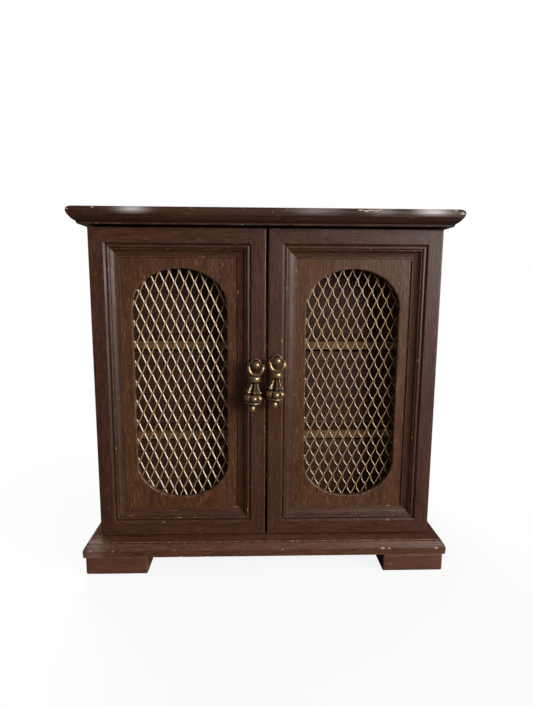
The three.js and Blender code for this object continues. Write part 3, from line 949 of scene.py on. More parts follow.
@dataclass
class Door:
    """A framed door: four mitred members, a window panel, a sheet of expanded metal and a strike."""

    side: Side
    frame_width: float = 19.2 * MM
    rebate_from: float = 14.5 * MM
    rebate_depth: float = 4.4 * MM
    window_margin: float = 7.1 * MM
    arch_rise: float = 26 * MM
    mitre_gap: float = 0.05 * MM
    low: Array = field(init=False)
    high: Array = field(init=False)

    def __post_init__(self) -> None:
        """Reads the door's size from its frame members."""
        members = [self.node(part) for part in ("hinge_stile", "meeting_stile", "top_rail", "bottom_rail")]
        self.low, self.high = corners(*members)

    def node(self, part: str) -> str:
        """Name of one of the door's CAD nodes."""
        return f"door_{self.side.word}_{part}"

    @property
    def body(self) -> str:
        """Name of the door's body."""
        return f"door_{self.side.word}"

    @property
    def middle(self) -> Array:
        """The middle of the door's face."""
        centre = (self.low + self.high) / 2
        return np.array([centre[0], self.low[1], centre[2]])

    def section(self) -> tuple[Array, Array]:
        """The frame's moulded section.

        From the outer edge: a flat band, a step down to a bead, a second step, a cove that
        sweeps down to the lip, and the rebate that holds the panel.

        Returns:
            The outline as rows of (distance inwards, depth), and its edge scores.
        """
        thick = (self.high[1] - self.low[1]) / MM
        rebate, depth = self.rebate_from / MM, self.rebate_depth / MM
        corners_mm = [
            (0, 0, 0.9), (9.75, 0.05, 0.25), (11.05, 1.15, 0.2), (11.7, 0.8, 0.5), (12.7, 0.85, 0.3),
            (13.35, 1.65, 0.1), (13.9, 1.6, 0.15), (15.3, 3.1, 1.2), (18.4, 3.75, 0.4), (19.2, 3.75, 0.2),
            (19.2, depth, 0.1), (rebate, depth, 0.1), (rebate, thick, 0.3), (0, thick, 0.6),
        ]
        return moulding_outline(corners_mm, 1.1 * MM, 0.45 * MM)

    def build_frame(self) -> None:
        """Makes the two stiles and the two rails."""
        section, scores = self.section()
        x0, front, z0 = self.low
        x1, _, z1 = self.high
        across, up = np.array([1.0, 0, 0]), np.array([0, 0, 1.0])
        outer, inner = (x0, x1) if self.side is Side.LEFT else (x1, x0)
        to_middle = across * -self.side.value
        width, height = x1 - x0, z1 - z0
        places = {
            "hinge_stile": (np.array([outer, front, z0]), to_middle, up, height),
            "meeting_stile": (np.array([inner, front, z0]), -to_middle, up, height),
            "top_rail": (np.array([x0, front, z1]), -up, across, width),
            "bottom_rail": (np.array([x0, front, z0]), up, across, width),
        }
        for number, (part, (corner, inward, along, length)) in enumerate(places.items()):
            grain = Grain.UPRIGHT if "stile" in part else Grain.ACROSS
            seed = 10 * number + (1 if self.side is Side.LEFT else 2)
            shell = swept_member(section, scores, corner, inward, along, length, self.mitre_gap, 1.0 * MM)
            nicks = Nicks(26, 0.22 * MM, 0.55 * MM, grain, 2.6, seed)
            piece = shell.build(f"{self.node(part)}_moulding", nicks)
            # Painted shade: the stiles are painted darker towards the bottom.
            fade = 0.12 if "stile" in part else 0.0
            finish = walnut(f"walnut_{self.side.word}_{part}", "frame_walnut", grain, 2.3 * seed, fade=fade)
            finish_piece(piece, finish, self.body, self.node(part))

    def window_outline(self, points: int) -> Array:
        """The window's outline about its middle.

        Straight sides joined by half ellipses: x = a cos(t), z = b sin(t) plus or minus the
        height of the straight stretch, sampled evenly along its length.

        Args:
            points: Number of points.

        Returns:
            The points as rows of (x, z).
        """
        half = (self.high - self.low)[[0, 2]] / 2 - self.frame_width - self.window_margin
        t = np.linspace(0, math.pi, 200)
        arch = np.stack([half[0] * np.cos(t), self.arch_rise * np.sin(t) + half[1] - self.arch_rise], axis=1)
        loop = np.concatenate([arch, -arch])
        loop = np.concatenate([loop, loop[:1]])
        along = np.concatenate([[0], np.cumsum(np.linalg.norm(np.diff(loop, axis=0), axis=1))])
        even = np.arange(points) / points * along[-1]
        return np.stack([np.interp(even, along, loop[:, i]) for i in range(2)], axis=1)

    def build_panel(self) -> None:
        """Makes the panel round the window.

        The surface is a ring: at each place round the window, a section runs from the outer
        edge over the face, round the window's arris and through to the back. A point of it
        lies at hole * (1 - share) + rim * share, at its own depth.
        """
        low, high = corners(self.node("window_panel"))
        around, face_rows = 560, 12
        hole = self.window_outline(around)
        half = (high - low)[[0, 2]] / 2
        reach = np.min(half / np.maximum(np.abs(hole), 1e-9), axis=1, keepdims=True)
        rim = hole * reach
        thick = high[1] - low[1]
        lip = 0.55 * MM
        share_depth = [(1.0, 0.0)]
        share_depth += [(s, 0.0) for s in np.linspace(0.94, 0.1, face_rows)]
        turn = np.linspace(0, math.pi / 2, 7)
        span = np.linalg.norm(rim - hole, axis=1).mean()
        share_depth += [((lip - lip * math.sin(a)) / span, lip - lip * math.cos(a)) for a in turn]
        share_depth += [(0.0, thick * 0.5), (0.0, thick - 0.1 * MM), (0.03, thick), (1.0, thick)]
        share = np.array(share_depth)
        plane = hole[:, None] * (1 - share[None, :, :1]) + rim[:, None] * share[None, :, :1]
        middle = self.middle
        depth = low[1] + share[None, :, 1] + 0 * plane[..., 0]
        grid = np.stack([middle[0] + plane[..., 0], depth, middle[2] + plane[..., 1]], axis=2)
        # The window's arris scores 1, so its rubbed colour paints a pale sheen all round it.
        scores = np.where((share[:, 0] < 0.02) & (share[:, 1] < 0.6 * MM), 1.0, 0.0)
        faces = quad_grid(around, len(share), wrap_rows=True, wrap_columns=True).tolist()
        shell = Shell(grid.reshape(-1, 3), faces, np.tile(scores, around), sharp_degrees=40)
        nicks = Nicks(14, 0.2 * MM, 0.6 * MM, Grain.UPRIGHT, 2.0, 31 + self.side.value)
        piece = shell.build(self.node("window_panel") + "_veneer", nicks)
        # Painted sheen: rub 1.0 and a pale grey bare colour paint the window's arris as if light caught its
        # varnished edge; chips show the same grey.
        finish = walnut(f"walnut_panel_{self.side.word}", "panel_walnut", Grain.UPRIGHT,
                        17.0 + self.side.value, dark=(0.033, 0.0102, 0.0029),
                        light=(0.124, 0.0460, 0.0166), flecks=0.75, coat=0.08, roughness=0.5, rub=1.0,
                        bare=(0.42, 0.34, 0.28))
        finish_piece(piece, finish, self.body, self.node("window_panel"))

    def build(self) -> None:
        """Makes every piece of the door."""
        self.build_frame()
        self.build_panel()
        ExpandedMetal(self).build()
        finish_board(self.node("strike_plate"), "steel", STEEL, self.body, 0.2 * MM, 2 * MM)


@dataclass
class ExpandedMetal:
    """The sheet of expanded metal behind a window.

    Upright ribbons zigzag between their neighbours. A ribbon's flat section keeps one direction
    u, turned about the upright axis, and its middle moves by half the ribbon's width along u at
    each bond, so that neighbours meet edge to edge there.
    """

    door: Door
    cell_width: float = 6.9 * MM
    cell_height: float = 14.2 * MM
    strand: float = 0.95 * MM
    thickness: float = 0.35 * MM
    turn_degrees: float = 25.0
    margin: float = 3.2 * MM
    shift_left: tuple[float, float] = (-2.3 * MM, 1.25 * MM)
    shift_right: tuple[float, float] = (-1.4 * MM, 3.45 * MM)
    bond: float = 1.4 * MM
    bow: tuple[float, float] = (0.1, 1.0)
    bond_tarnish: float = 0.85
    falling_share: tuple[float, float] = (0.86, 0.56)
    rising_share: tuple[float, float] = (0.76, 0.84)
    # Painted shade: strands that rise to the right face down and are painted in the darker tarnish colour;
    # falling ones face up and stay pale on the left door, with a quarter of it on the right. The bonds keep
    # their own tarnish.
    falling_shade: tuple[float, float] = (0.0, 0.25)
    rising_shade: tuple[float, float] = (1.0, 0.95)

    def ribbon_swing(self, heights: Array, phase: float) -> tuple[Array, Array]:
        """How a ribbon zigzags.

        Between bonds the swing is a straight ramp r, mixed with 1 - (1 - r) ^ 2.3 on the
        strands that are bowed.

        Args:
            heights: Heights along the ribbon.
            phase: 0 or 1, for every other ribbon.

        Returns:
            The swing, from -1 at a left bond to +1 at a right one, and the slope: +1 on a
            strand that rises to the right, -1 on one that falls, and 0 at a bond.
        """
        half_cell = self.cell_height / 2
        cycle = (heights / half_cell + phase) % 2
        ramp = np.clip((np.abs(cycle - 1) * half_cell - self.bond / 2) / (half_cell - self.bond), 0, 1)
        bow = np.where(cycle > 1, self.bow[self.door.side is Side.RIGHT], 0.0)
        swing = 1 - 2 * ((1 - bow) * ramp + bow * (1 - (1 - ramp) ** 2.3))
        slope = np.gradient(swing)
        return swing, np.clip(1.6 * slope / np.abs(slope).max(), -1, 1)

    def flat_section(self) -> Array:
        """A ribbon's flat section with bevelled corners.

        Returns:
            Its outline as rows of (across, through).
        """
        w, t = self.strand / 2, self.thickness / 2
        bevel = 0.25 * self.thickness
        return np.array([(-w, -t + bevel), (-w + bevel, -t), (w - bevel, -t), (w, -t + bevel),
                         (w, t - bevel), (w - bevel, t), (-w + bevel, t), (-w, t - bevel)])

    def build(self) -> None:
        """Makes all the ribbons as one piece."""
        door = self.door
        low, high = corners(door.node("grille"))
        middle_y = (low[1] + high[1]) / 2 + 0.45 * MM
        half = (door.high - door.low)[[0, 2]] / 2 - door.frame_width - door.window_margin + self.margin
        turn = math.radians(self.turn_degrees)
        u = np.array([math.cos(turn), math.sin(turn), 0.0])
        normal = np.array([math.sin(turn), -math.cos(turn), 0.0])
        spacing = self.cell_width / 2
        swing_x = spacing / 2 - self.strand / 2 * u[0]
        swing_y = -self.strand / 2 * u[1]
        hand = int(door.side is Side.RIGHT)
        shift_x, shift_z = self.shift_right if hand else self.shift_left
        section = self.flat_section()
        sides = len(section)
        points, faces, scores, tarnish_and_shade, start = [], [], [], [], 0
        count = math.ceil(half[0] / spacing)
        for number in range(-count, count + 1):
            centre = number * spacing + shift_x
            reach = half[1] - door.arch_rise
            beyond = min(1.0, abs(centre) / (half[0] + 1e-9))
            top = reach + (door.arch_rise + 1.5 * MM) * math.sqrt(max(0.0, 1 - beyond ** 2)) + 2.5 * MM
            rows = math.ceil(2 * top / (self.cell_height / 18)) + 1
            heights = np.linspace(-top, top, rows)
            swing, slope = self.ribbon_swing(heights - shift_z, float(number % 2))
            x = centre + swing * swing_x
            y = middle_y + swing * swing_y
            path = np.stack([door.middle[0] + x, y, door.middle[2] + heights], axis=1)
            rising, falling = np.clip(slope, 0, 1), np.clip(-slope, 0, 1)
            share = 1 - rising * (1 - self.rising_share[hand]) - falling * (1 - self.falling_share[hand])
            flat = section[None, :, :1] * share[:, None, None]
            ring = path[:, None] + u * flat + normal * section[None, :, 1:]
            # Painted shade on the strands that face down, tarnish at the bonds.
            dull = self.bond_tarnish + rising * (self.rising_shade[hand] - self.bond_tarnish)
            dull = dull + falling * (self.falling_shade[hand] - self.bond_tarnish)
            points.append(ring.reshape(-1, 3))
            faces += tube_faces(rows, sides, start)
            scores.append(np.repeat(1 - np.abs(slope), sides))
            tarnish_and_shade.append(np.repeat(dull, sides))
            start += rows * sides
        shell = Shell(np.concatenate(points), faces, np.concatenate(scores), sharp_degrees=35,
                      wear_and_shade=np.concatenate(tarnish_and_shade))
        piece = shell.build(door.node("grille") + "_expanded_metal")
        finish_piece(piece, MESH_METAL, door.body, door.node("grille"))


# ---------------------------------------------------------------- pulls


@dataclass
class DropPull:
    """A cast brass drop pull: a post with a ball, and a pendant that hangs from its neck."""

    side: Side
    lean_degrees: float
    bell_out: float = 7.0 * MM
    strap_half_width: float = 1.15 * MM
    strap_half_depth: float = 0.70 * MM
    lobes: int = 6
    first_lobe: float = math.radians(-84)
    sides: int = 120

    @property
    def ball(self) -> Array:
        """The point on the door's face behind the ball's middle.

        Returns:
            The point.
        """
        low, high = corners(f"pull_{self.side.word}_post")
        return np.array([(low[0] + high[0]) / 2, high[1] + 0.3 * MM, (low[2] + high[2]) / 2])

    def build_post(self) -> None:
        """Makes the rosette, the neck and the ball as one turned body along Y."""
        profile = smooth_profile([
            (0, 0.3), (3.3, 0.3), (3.65, 0.5), (3.7, 1.2), (3.4, 1.8), (3.0, 1.6), (2.6, 1.1), (1.7, 0.9),
            (1.1, 1.3), (0.9, 2.2), (0.9, 4.0), (1.5, 4.5), (2.4, 5.4), (2.8, 7.0), (2.35, 8.6),
            (1.4, 9.5), (0, 9.85),
        ])
        turned = np.stack([profile[:, 0], -profile[:, 1]], axis=1)
        shell = revolved(turned, 64, self.ball, Grain.DEEP)
        away = (shell.points - self.ball) / MM
        radius, depth = np.hypot(away[:, 0], away[:, 2]), -away[:, 1]
        shell.wear_and_shade = np.clip((3.0 - radius) / 0.3, 0, 1) * np.clip((4.4 - depth) / 0.6, 0, 1)
        piece = shell.build(f"pull_{self.side.word}_post_brass")
        finish_piece(piece, BRASS, f"door_{self.side.word}", f"pull_{self.side.word}_post")

    def bell(self) -> Shell:
        """The bell: a collar bead, a ribbed skirt, a lobed ring, a rim and a drop.

        Lobes follow |cos(n * angle / 2)|, which is round on each lobe and sharp between them;
        ribs follow ((1 + cos(n * angle)) / 2) raised to a power, which makes them narrow, and
        each rib ends in a bead.

        Returns:
            The closed surface, about the ball's axis.
        """
        profile = smooth_profile([
            (0, -32.7), (1.2, -32.4), (2.15, -31.3), (2.35, -29.8), (1.9, -28.4), (1.15, -27.6), (1.1, -26.9),
            (2.0, -26.4), (4.6, -26.1), (5.8, -25.7), (5.9, -25.2), (5.1, -24.7), (5.6, -24.2), (6.3, -23.5),
            (6.6, -22.4), (6.3, -21.2), (5.5, -20.2), (4.8, -19.6), (5.2, -19.0), (5.6, -18.2), (5.0, -17.3),
            (4.1, -16.5), (3.4, -15.3), (2.9, -13.9), (2.5, -12.6), (2.3, -11.9), (2.9, -11.4),
            (3.85, -10.8), (4.05, -9.5), (3.85, -8.2), (3.0, -7.3), (1.6, -7.0), (0, -6.95),
        ])
        angle = np.arange(self.sides) / self.sides * 2 * math.pi
        z = profile[:, 1] / MM
        turned = self.lobes * (angle - self.first_lobe)
        ring = np.exp(-(((z + 22.2) / 2.2) ** 4))
        skirt = np.clip((z + 19.6) / 0.6, 0, 1) * np.clip((-11.9 - z) / 1.0, 0, 1)
        bead = np.exp(-(((z + 18.3) / 0.85) ** 2))
        lobe = np.abs(np.cos(turned / 2)) ** 0.5
        crest = (1 + np.cos(turned)) / 2
        rib = crest ** 5
        widen = ring[:, None] * (lobe[None] - 0.9) * 0.36
        widen = widen + skirt[:, None] * (1 - bead[:, None]) * (rib[None] - 0.95) * 0.5
        widen = widen + bead[:, None] * (crest[None] ** 1.6 - 0.9) * 0.42
        shell = revolved(profile, self.sides, np.zeros(3), Grain.UPRIGHT, widen)
        hidden = ring[:, None] * np.clip(0.8 - lobe[None], 0, 1) * 2.2
        hidden = hidden + skirt[:, None] * (1 - bead[:, None]) * np.clip(0.8 - rib[None], 0, 1) * 1.4
        hidden = hidden + bead[:, None] * np.clip(0.5 - crest[None], 0, 1) * 2.2
        neck = sum(np.exp(-(((z - place) / reach) ** 2)) for place, reach in
                   ((-27.2, 0.7), (-24.75, 0.25), (-19.6, 0.35), (-11.9, 0.4), (-26.3, 0.3), (-7.1, 0.4)))
        recess = np.clip(hidden + neck[:, None], 0, 1)
        shell.wear_and_shade = np.concatenate([recess[1:-1].ravel(), [0, 0]])
        return shell

    def stirrup(self) -> Shell:
        """The stirrup: a strap carried up from the bell past the ball to the post's neck.

        The path is a Catmull-Rom curve through listed points (x, out, z) and their mirror
        images. The section is an ellipse set across the path, drawn in to a blunt point at both
        ends.

        Returns:
            The closed surface, about the ball's axis.
        """
        half = [(2.1, 7.0, -6.3), (3.7, 7.0, -5.0), (4.5, 6.8, -3.1), (4.8, 6.3, -1.3), (4.6, 5.2, -0.2),
                (3.6, 4.2, 0.0), (2.3, 3.5, 0.0), (1.0, 3.4, 0.0)]
        route = [(-x, out, z) for x, out, z in reversed(half)] + [(0.0, 7.0, -6.8), *half]
        given = np.array([(x, -out, z) for x, out, z in route]) * MM
        path = catmull_rom(given, 10)
        ahead = np.gradient(path, axis=0)
        ahead /= np.linalg.norm(ahead, axis=1, keepdims=True)
        side = np.cross(ahead, np.array([0.0, -1.0, 0.25]))
        side /= np.linalg.norm(side, axis=1, keepdims=True)
        up = np.cross(side, ahead)
        sides = 16
        around = np.arange(sides) / sides * 2 * math.pi
        place = np.linspace(0, 1, len(path))
        inward = np.minimum(place, 1 - place)[:, None, None]
        size, width = np.clip(inward / 0.02, 0.3, 1), np.clip(0.35 + (inward - 0.08) / 0.12, 0.35, 1)
        out_across = (self.strap_half_width * np.cos(around))[None, :, None] * size * width
        out_through = (self.strap_half_depth * np.sin(around))[None, :, None] * size
        ring = path[:, None] + side[:, None] * out_across + up[:, None] * out_through
        rows = len(path)
        outer_arris = np.tile(0.5 * np.abs(np.cos(around)) ** 3, rows)
        inner_grime = np.tile(np.clip(-np.sin(around), 0, 1) * 0.35, rows)
        return Shell(ring.reshape(-1, 3), tube_faces(rows, sides), outer_arris, wear_and_shade=inner_grime)

    def build(self) -> None:
        """Makes the post and the pendant."""
        self.build_post()
        lean = Matrix.Rotation(math.radians(self.lean_degrees), 4, "Y")
        place = Matrix.Translation(Vector(self.ball)) @ lean
        name = f"pull_{self.side.word}_pendant"
        shell = self.bell()
        shell.points = shell.points + np.array([0, -self.bell_out, 0])
        for part, piece_shell, nodes in (("bell", shell, (name,)), ("stirrup", self.stirrup(), ())):
            piece = piece_shell.build(f"pull_{self.side.word}_{part}_brass")
            piece.data.transform(place)
            finish_piece(piece, BRASS, f"pull_{self.side.word}", *nodes)


# ---------------------------------------------------------------- case


@dataclass
class Case:
    """The cap, the base, the feet and the boards between them.

    A chip is (x, z, size). A painted sheen is (x, reach, amount).
    """

    chip_step: float = 1.1 * MM
    bloom_from: float = 0.2462
    scuff_x: float = -0.1195
    cap_chips: tuple[tuple[float, float, float], ...] = (
        (0.0600, 0.2508, 1.0), (0.0632, 0.2502, 1.1), (0.0665, 0.2509, 1.4), (0.0695, 0.2500, 0.9),
        (0.0730, 0.2508, 0.8), (0.1215, 0.2512, 0.8), (0.1262, 0.2488, 0.9), (-0.1110, 0.2512, 0.7),
        (-0.0485, 0.2513, 0.5), (-0.1262, 0.2490, 0.7), (0.0980, 0.2513, 0.4), (0.0120, 0.2513, 0.3),
    )
    # Painted sheens: pale patches on the cap's upper edge in place of reflected light.
    cap_painted_sheens: tuple[tuple[float, float, float], ...] = (
        (-0.086, 0.0085, 0.70), (0.031, 0.0140, 0.22), (0.106, 0.0100, 0.85), (0.074, 0.0080, 0.25),
    )
    base_chips: tuple[tuple[float, float, float], ...] = (
        (0.083, 0.0182, 1.1), (0.087, 0.0182, 0.7), (0.1215, 0.0182, 0.9), (-0.107, 0.0182, 0.6),
        (-0.122, 0.0182, 0.7), (0.012, 0.0182, 0.5), (-0.064, 0.0182, 0.4),
    )

    def moulded(self, node: str, section_mm: list[tuple[float, float, float]]) -> tuple[Shell, float]:
        """A moulded board with the reach of its CAD node.

        Args:
            node: The CAD node.
            section_mm: Corners (inset, height above the bottom, radius) in millimetres.

        Returns:
            The board, and the Y of its foremost point.
        """
        low, high = corners(node)
        outline, scores = moulding_outline(section_mm, self.chip_step, 0.5 * MM, low[2] / MM, closed=False)
        return moulded_slab(outline, scores, high[0], low[1], high[1], self.chip_step), low[1]

    def build_cap(self) -> None:
        """Makes the cap: a rounded upper edge above a receding cove.

        Its painted sheen, which stands in for reflected light, lies on the upper edge, as the sum of amount *
        exp(-((x - place) / reach)^2).
        """
        shell, front = self.moulded("cap_board", [
            (40, 0, 0), (5.2, 0, 0.3), (4.9, 1.5, 0.4), (3.5, 2.3, 0.8), (2.2, 3.6, 0.8), (1.25, 4.95, 0.3),
            (0.85, 5.35, 0.2), (0, 8.1, 0.7), (0.8, 9.8, 0.8), (2.8, 10.8, 0.9), (6.2, 11.0, 1.2),
            (40, 11.0, 0),
        ])
        across, out, up = shell.points.T
        # Painted sheen on the upper edge.
        band = np.clip((up - self.bloom_from) / (2.5 * MM), 0, 1)
        band = band * np.clip((front + 5 * MM - out) / (3 * MM), 0, 1)
        shell.sheen_and_scuff = band * sum(amount * np.exp(-(((across - place) / reach) ** 2))
                                for place, reach, amount in self.cap_painted_sheens)
        nicks = Nicks(22, 0.35 * MM, 0.6 * MM, Grain.ACROSS, 2.0, 5, self.cap_chips)
        piece = shell.build("cap_board_moulding", nicks)
        finish = walnut("walnut_cap", "case_walnut", Grain.ACROSS, 41.0, dark=(0.021, 0.0070, 0.0034),
                        light=(0.072, 0.0270, 0.0135), coat=0.2, roughness=0.5, rub=0.25,
                        bare=(0.62, 0.46, 0.37))
        finish_piece(piece, finish, "root", "cap_board")

    def build_base(self) -> None:
        """Makes the base: a small step and a cove above a plain fascia.

        Its scuff is 0.16 * exp(-distance^2) about the left front corner.
        """
        shell, front = self.moulded("base_board", [
            (40, 0, 0), (0.2, 0, 0.5), (0, 5.1, 0.18), (0.7, 6.9, 0.8), (1.6, 8.3, 0.6), (2.2, 9.15, 0.3),
            (2.75, 9.2, 0.1), (2.8, 9.9, 0.3), (40, 9.9, 0),
        ])
        across, out, _ = shell.points.T
        distance = np.hypot((across - self.scuff_x) / (6 * MM), (out - front - 3 * MM) / (5 * MM))
        shell.sheen_and_scuff = 0.16 * np.exp(-(distance ** 2))
        nicks = Nicks(48, 0.40 * MM, 0.6 * MM, Grain.ACROSS, 2.2, 8, self.base_chips)
        piece = shell.build("base_board_moulding", nicks)
        finish = walnut("walnut_base", "base_walnut", Grain.ACROSS, 47.0, dark=(0.046, 0.0154, 0.0086),
                        light=(0.136, 0.054, 0.031), specks=0.8, flecks=0.3, rub=0.9,
                        bare=(0.52, 0.34, 0.25))
        finish_piece(piece, finish, "root", "base_board")

    def build_boards(self) -> None:
        """Makes the feet, the side, back and top panels, the shelves and the catch."""
        foot = walnut("walnut_feet", "base_walnut", Grain.ACROSS, 52.0, dark=(0.066, 0.0240, 0.0148),
                      light=(0.150, 0.058, 0.036), flecks=0.2, pores=0.3)
        side = walnut("walnut_sides", "case_walnut", Grain.UPRIGHT, 57.0)
        back = walnut("walnut_back", "case_walnut", Grain.UPRIGHT, 61.0, flecks=0.2, coat=0.05,
                      roughness=0.6)
        top = walnut("walnut_top_panel", "case_walnut", Grain.ACROSS, 65.0)
        shelf = WoodFinish("golden_shelf", "shelf_wood", Grain.ACROSS, (0.105, 0.055, 0.020),
                           (0.25, 0.140, 0.056), roughness=0.5, coat=0.0, shift=70.0)
        feet = [f"foot_{end}_{hand}" for end in ("front", "back") for hand in ("left", "right")]
        plan = [(node, foot, 1.3 * MM, Nicks(9, 0.3 * MM, 0.8 * MM, Grain.ACROSS, 2, 90 + i))
                for i, node in enumerate(feet)]
        plan += [("side_panel_left", side, 0.7 * MM, Nicks(16, 0.3 * MM, 0.8 * MM, Grain.UPRIGHT, 3, 95)),
                 ("side_panel_right", side, 0.7 * MM, Nicks(16, 0.3 * MM, 0.8 * MM, Grain.UPRIGHT, 3, 96)),
                 ("back_panel", back, 0.4 * MM, None), ("top_panel", top, 0.5 * MM, None),
                 ("drawer_shelf_lower", shelf, 0.5 * MM, None),
                 ("drawer_shelf_upper", shelf, 0.5 * MM, None),
                 ("magnet_catch", CATCH, 0.6 * MM, None)]
        for node, finish, radius, nicks in plan:
            finish_board(node, "finished", finish, "root", radius, 3 * MM, nicks)

    def build(self) -> None:
        """Makes the whole case."""
        self.build_cap()
        self.build_base()
        self.build_boards()


# ---------------------------------------------------------------- drawers


@dataclass
class Drawer:
    """A drawer with a bevelled front, plain wooden walls, a velvet pad and a turned knob."""

    level: str
    seed: int
    band: float = 6.5 * MM
    rolls: int = 5

    @property
    def body(self) -> str:
        """Name of the drawer's body."""
        return f"drawer_{self.level}"

    def build_front(self) -> None:
        """Makes the front: a bevel rises from the border to a fine ridge round a flat field."""
        node = f"{self.body}_front"
        low, high = corners(node)
        shell = board(low, high, 0.4 * MM, 1.0 * MM)
        points = shell.points
        border = np.minimum.reduce([points[:, 0] - low[0], high[0] - points[:, 0],
                                    points[:, 2] - low[2], high[2] - points[:, 2]])
        facing = np.clip(1 - (points[:, 1] - low[1]) / (2 * MM), 0, 1)
        rise = np.clip(border / self.band, 0, 1)
        sunk = 1.7 * MM * (1 - rise) + 0.45 * MM * np.clip((border - self.band) / (0.9 * MM), 0, 1)
        points[:, 1] += facing * sunk
        ridge = np.exp(-(((border - self.band) / (0.8 * MM)) ** 2))
        shell.edge = np.maximum(shell.edge, ridge * facing)
        piece = shell.build(f"{node}_bevelled", Nicks(6, 0.2 * MM, 0.6 * MM, Grain.ACROSS, 3, self.seed))
        finish = walnut("walnut_drawer_fronts", "drawer_walnut", Grain.ACROSS, 77.0,
                        dark=(0.024, 0.009, 0.005), light=(0.082, 0.034, 0.018), coat=0.0, roughness=0.6)
        finish_piece(piece, finish, self.body, node)

    def build_box(self) -> None:
        """Makes the two sides, the back and the floor in plain wood."""
        plain = WoodFinish("plain_drawer_wood", "drawer_wood", Grain.DEEP, (0.30, 0.17, 0.075),
                           (0.50, 0.31, 0.15), roughness=0.6, coat=0.0, shift=83.0)
        for part in ("side_left", "side_right", "back", "floor"):
            finish_board(f"{self.body}_{part}", "planed", plain, self.body, 0.4 * MM, 5 * MM)

    def build_lining(self) -> None:
        """Makes the velvet pad, whose top is a row of rolls with channels for rings between them.

        Across each roll the height follows |sin| ^ 0.6.
        """
        node = f"{self.body}_lining"
        low, high = corners(node)
        shell = board(low, high, 1.2 * MM, 1.5 * MM)
        points = shell.points
        across = (points[:, 1] - low[1]) / (high[1] - low[1])
        roll = np.abs(np.sin(self.rolls * math.pi * across)) ** 0.6
        upper = np.clip((points[:, 2] - low[2]) / (high[2] - low[2]) - 0.4, 0, 1)
        points[:, 2] -= upper * (1 - roll) * 2.6 * MM
        piece = shell.build(f"{node}_velvet")
        finish_piece(piece, VELVET, self.body, node)

    def build_knob(self) -> None:
        """Makes the turned brass knob."""
        node = f"{self.body}_knob"
        low, high = corners(node)
        profile = smooth_profile([
            (0, 0), (3.3, 0), (3.6, 0.4), (3.3, 1.2), (2.0, 1.9), (1.6, 3.2), (2.0, 4.8), (3.4, 5.8),
            (4.3, 7.2), (4.35, 8.4), (3.7, 9.7), (2.0, 10.5), (0, 10.7),
        ])
        turned = np.stack([profile[:, 0], -profile[:, 1]], axis=1)
        centre = np.array([(low[0] + high[0]) / 2, high[1], (low[2] + high[2]) / 2])
        piece = revolved(turned, 56, centre, Grain.DEEP).build(f"{node}_brass")
        finish_piece(piece, BRASS, self.body, node)

    def build(self) -> None:
        """Makes the whole drawer."""
        self.build_front()
        self.build_box()
        self.build_lining()
        self.build_knob()


def dress_hinges() -> None:
    """Gives the eight hinge leaves the antiqued brass finish."""
    for name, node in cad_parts.items():
        if "hinge_leaf" in name:
            palette.dress(node, BRASS)
            log.info("%s keeps its CAD shape", name)


# ---------------------------------------------------------------- stage


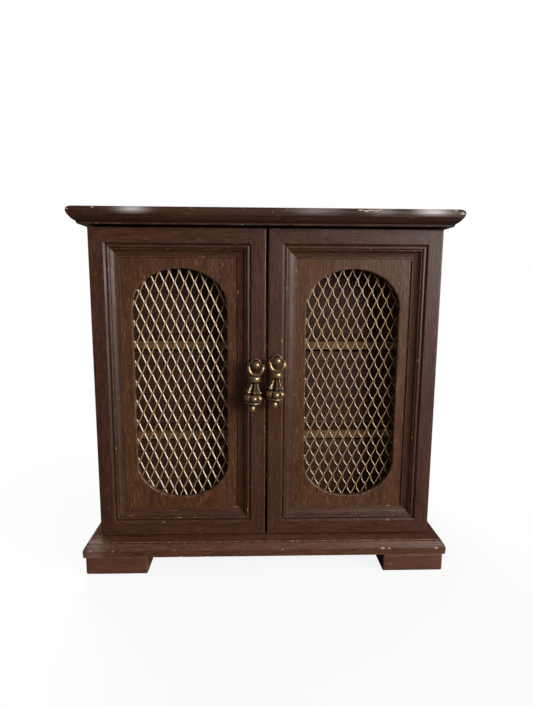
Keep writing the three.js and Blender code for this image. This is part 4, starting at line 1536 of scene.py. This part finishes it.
@dataclass
class Studio:
    """The pale floor, the soft light and the camera."""

    distance: float = 315.9 * MM
    aside: float = -9.8 * MM
    height: float = 201.4 * MM
    yaw_degrees: float = 1.736
    pitch_degrees: float = 8.13
    roll_degrees: float = 0.309
    lens: float = 23.78

    def build_camera(self) -> None:
        """Stands the camera in front of the doors, turned a little right and down."""
        door_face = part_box("door_left_hinge_stile")[0][1]
        yaw, pitch = math.radians(self.yaw_degrees), math.radians(self.pitch_degrees)
        roll = math.radians(self.roll_degrees)
        ahead = Vector((math.sin(yaw) * math.cos(pitch), math.cos(yaw) * math.cos(pitch), -math.sin(pitch)))
        right = Vector((math.cos(yaw), -math.sin(yaw), 0))
        up = right.cross(ahead)
        image_right = right * math.cos(roll) + up * math.sin(roll)
        image_up = up * math.cos(roll) - right * math.sin(roll)
        data = bpy.data.cameras.new("camera")
        data.lens, data.sensor_width = self.lens, 36.0
        data.clip_start, data.clip_end = 0.01, 20
        camera = bpy.data.objects.new("camera", data)
        turn = Matrix((image_right, image_up, -ahead)).transposed()
        place = Matrix.Translation((self.aside, door_face - self.distance, self.height))
        camera.matrix_world = place @ turn.to_4x4()
        bpy.context.scene.collection.objects.link(camera)
        bpy.context.scene.camera = camera

    def build_floor(self) -> None:
        """Lays the pale floor.

        Seen directly it is near white and takes a soft shadow close to the case, and it fades
        into the surround further out; it throws little light back at the case.
        """
        mesh = bpy.data.meshes.new("floor")
        half = 6.0
        mesh.from_pydata([(-half, -half, 0), (half, -half, 0), (half, half, 0), (-half, half, 0)], [],
                         [(0, 1, 2, 3)])
        floor = bpy.data.objects.new("floor", mesh)
        bpy.context.scene.collection.objects.link(floor)
        graph = Graph("pale_floor")
        graph.set(Base_Color=(0.9, 0.9, 0.9, 1.0), Roughness=0.9, Specular_IOR_Level=0.1)
        tree = graph.tree
        away = graph.add("ShaderNodeVectorMath", {0: graph.place}, operation="LENGTH").outputs["Value"]
        share = graph.ramp(away, 0.15, 0.4, 0.88, 1.0)
        glow = graph.add("ShaderNodeEmission", {"Color": (1, 1, 1, 1), "Strength": 1.0}).outputs[0]
        seen = graph.add("ShaderNodeMixShader", {0: share, 1: graph.shader.outputs[0], 2: glow}).outputs[0]
        dull = graph.add("ShaderNodeBsdfDiffuse", {"Color": (0.075, 0.065, 0.055, 1)}).outputs[0]
        direct = tree.nodes.new("ShaderNodeLightPath").outputs["Is Camera Ray"]
        mixed = graph.add("ShaderNodeMixShader", {0: direct, 1: dull, 2: seen}).outputs[0]
        tree.links.new(mixed, tree.nodes["Material Output"].inputs["Surface"])
        floor.data.materials.append(graph.material)

    def add_area(self, name: str, place: tuple[float, float, float], size: tuple[float, float], power: float,
                 colour: Colour = (1.0, 1.0, 1.0), reflected: bool = True) -> None:
        """Hangs a soft rectangular light, aimed at the middle of the doors.

        Args:
            name: The light's name.
            place: Where it hangs.
            size: Its width and height.
            power: Its power in watts.
            colour: Its colour.
            reflected: Whether glossy surfaces show it.
        """
        light = bpy.data.lights.new(name, "AREA")
        light.shape, light.size, light.size_y = "RECTANGLE", size[0], size[1]
        light.energy, light.color = power, colour
        lamp = bpy.data.objects.new(name, light)
        aim = Vector((0, -0.05, 0.13)) - Vector(place)
        lamp.visible_glossy, lamp.visible_camera = reflected, False
        lamp.matrix_world = Matrix.Translation(place) @ aim.to_track_quat("-Z", "Y").to_matrix().to_4x4()
        bpy.context.scene.collection.objects.link(lamp)

    def build_light(self) -> None:
        """Sets a pale surround and four soft lights."""
        world = bpy.data.worlds.new("surround")
        world.use_nodes = True
        nodes, links = world.node_tree.nodes, world.node_tree.links
        background = nodes["Background"]
        path = nodes.new("ShaderNodeLightPath")
        seen = nodes.new("ShaderNodeBackground")
        seen.inputs["Color"].default_value = (1, 1, 1, 1)
        mixer = nodes.new("ShaderNodeMixShader")
        background.inputs["Color"].default_value = (0.9, 0.93, 1.0, 1)
        background.inputs["Strength"].default_value = 0.05
        links.new(path.outputs["Is Camera Ray"], mixer.inputs[0])
        links.new(background.outputs[0], mixer.inputs[1])
        links.new(seen.outputs[0], mixer.inputs[2])
        links.new(mixer.outputs[0], nodes["World Output"].inputs["Surface"])
        bpy.context.scene.world = world
        self.add_area("window", (0.98, -0.86, 0.48), (0.95, 0.7), 24, (1.0, 0.985, 0.97))
        self.add_area("fill", (-0.6, -1.1, 0.6), (0.8, 0.8), 1.6, reflected=False)
        self.add_area("overhead", (0.0, -0.3, 1.2), (0.9, 0.6), 2.2, reflected=False)
        self.add_area("behind", (-0.5, 1.2, 0.7), (0.8, 0.8), 30.0, reflected=False)
        bpy.context.scene.view_settings.view_transform = "Standard"

    def build(self) -> None:
        """Sets up the whole studio."""
        self.build_camera()
        self.build_floor()
        self.build_light()


def main() -> None:
    """Builds the studio, then every sub-assembly in order."""
    logging.basicConfig(level=logging.INFO, format="%(name)s: %(message)s")
    Studio().build()
    Case().build()
    for side in Side:
        Door(side).build()
    DropPull(Side.LEFT, lean_degrees=4.8).build()
    DropPull(Side.RIGHT, lean_degrees=3.4).build()
    for number, level in enumerate(("top", "middle", "bottom")):
        Drawer(level, 100 + number).build()
    dress_hinges()


if __name__ == "__main__":
    main()
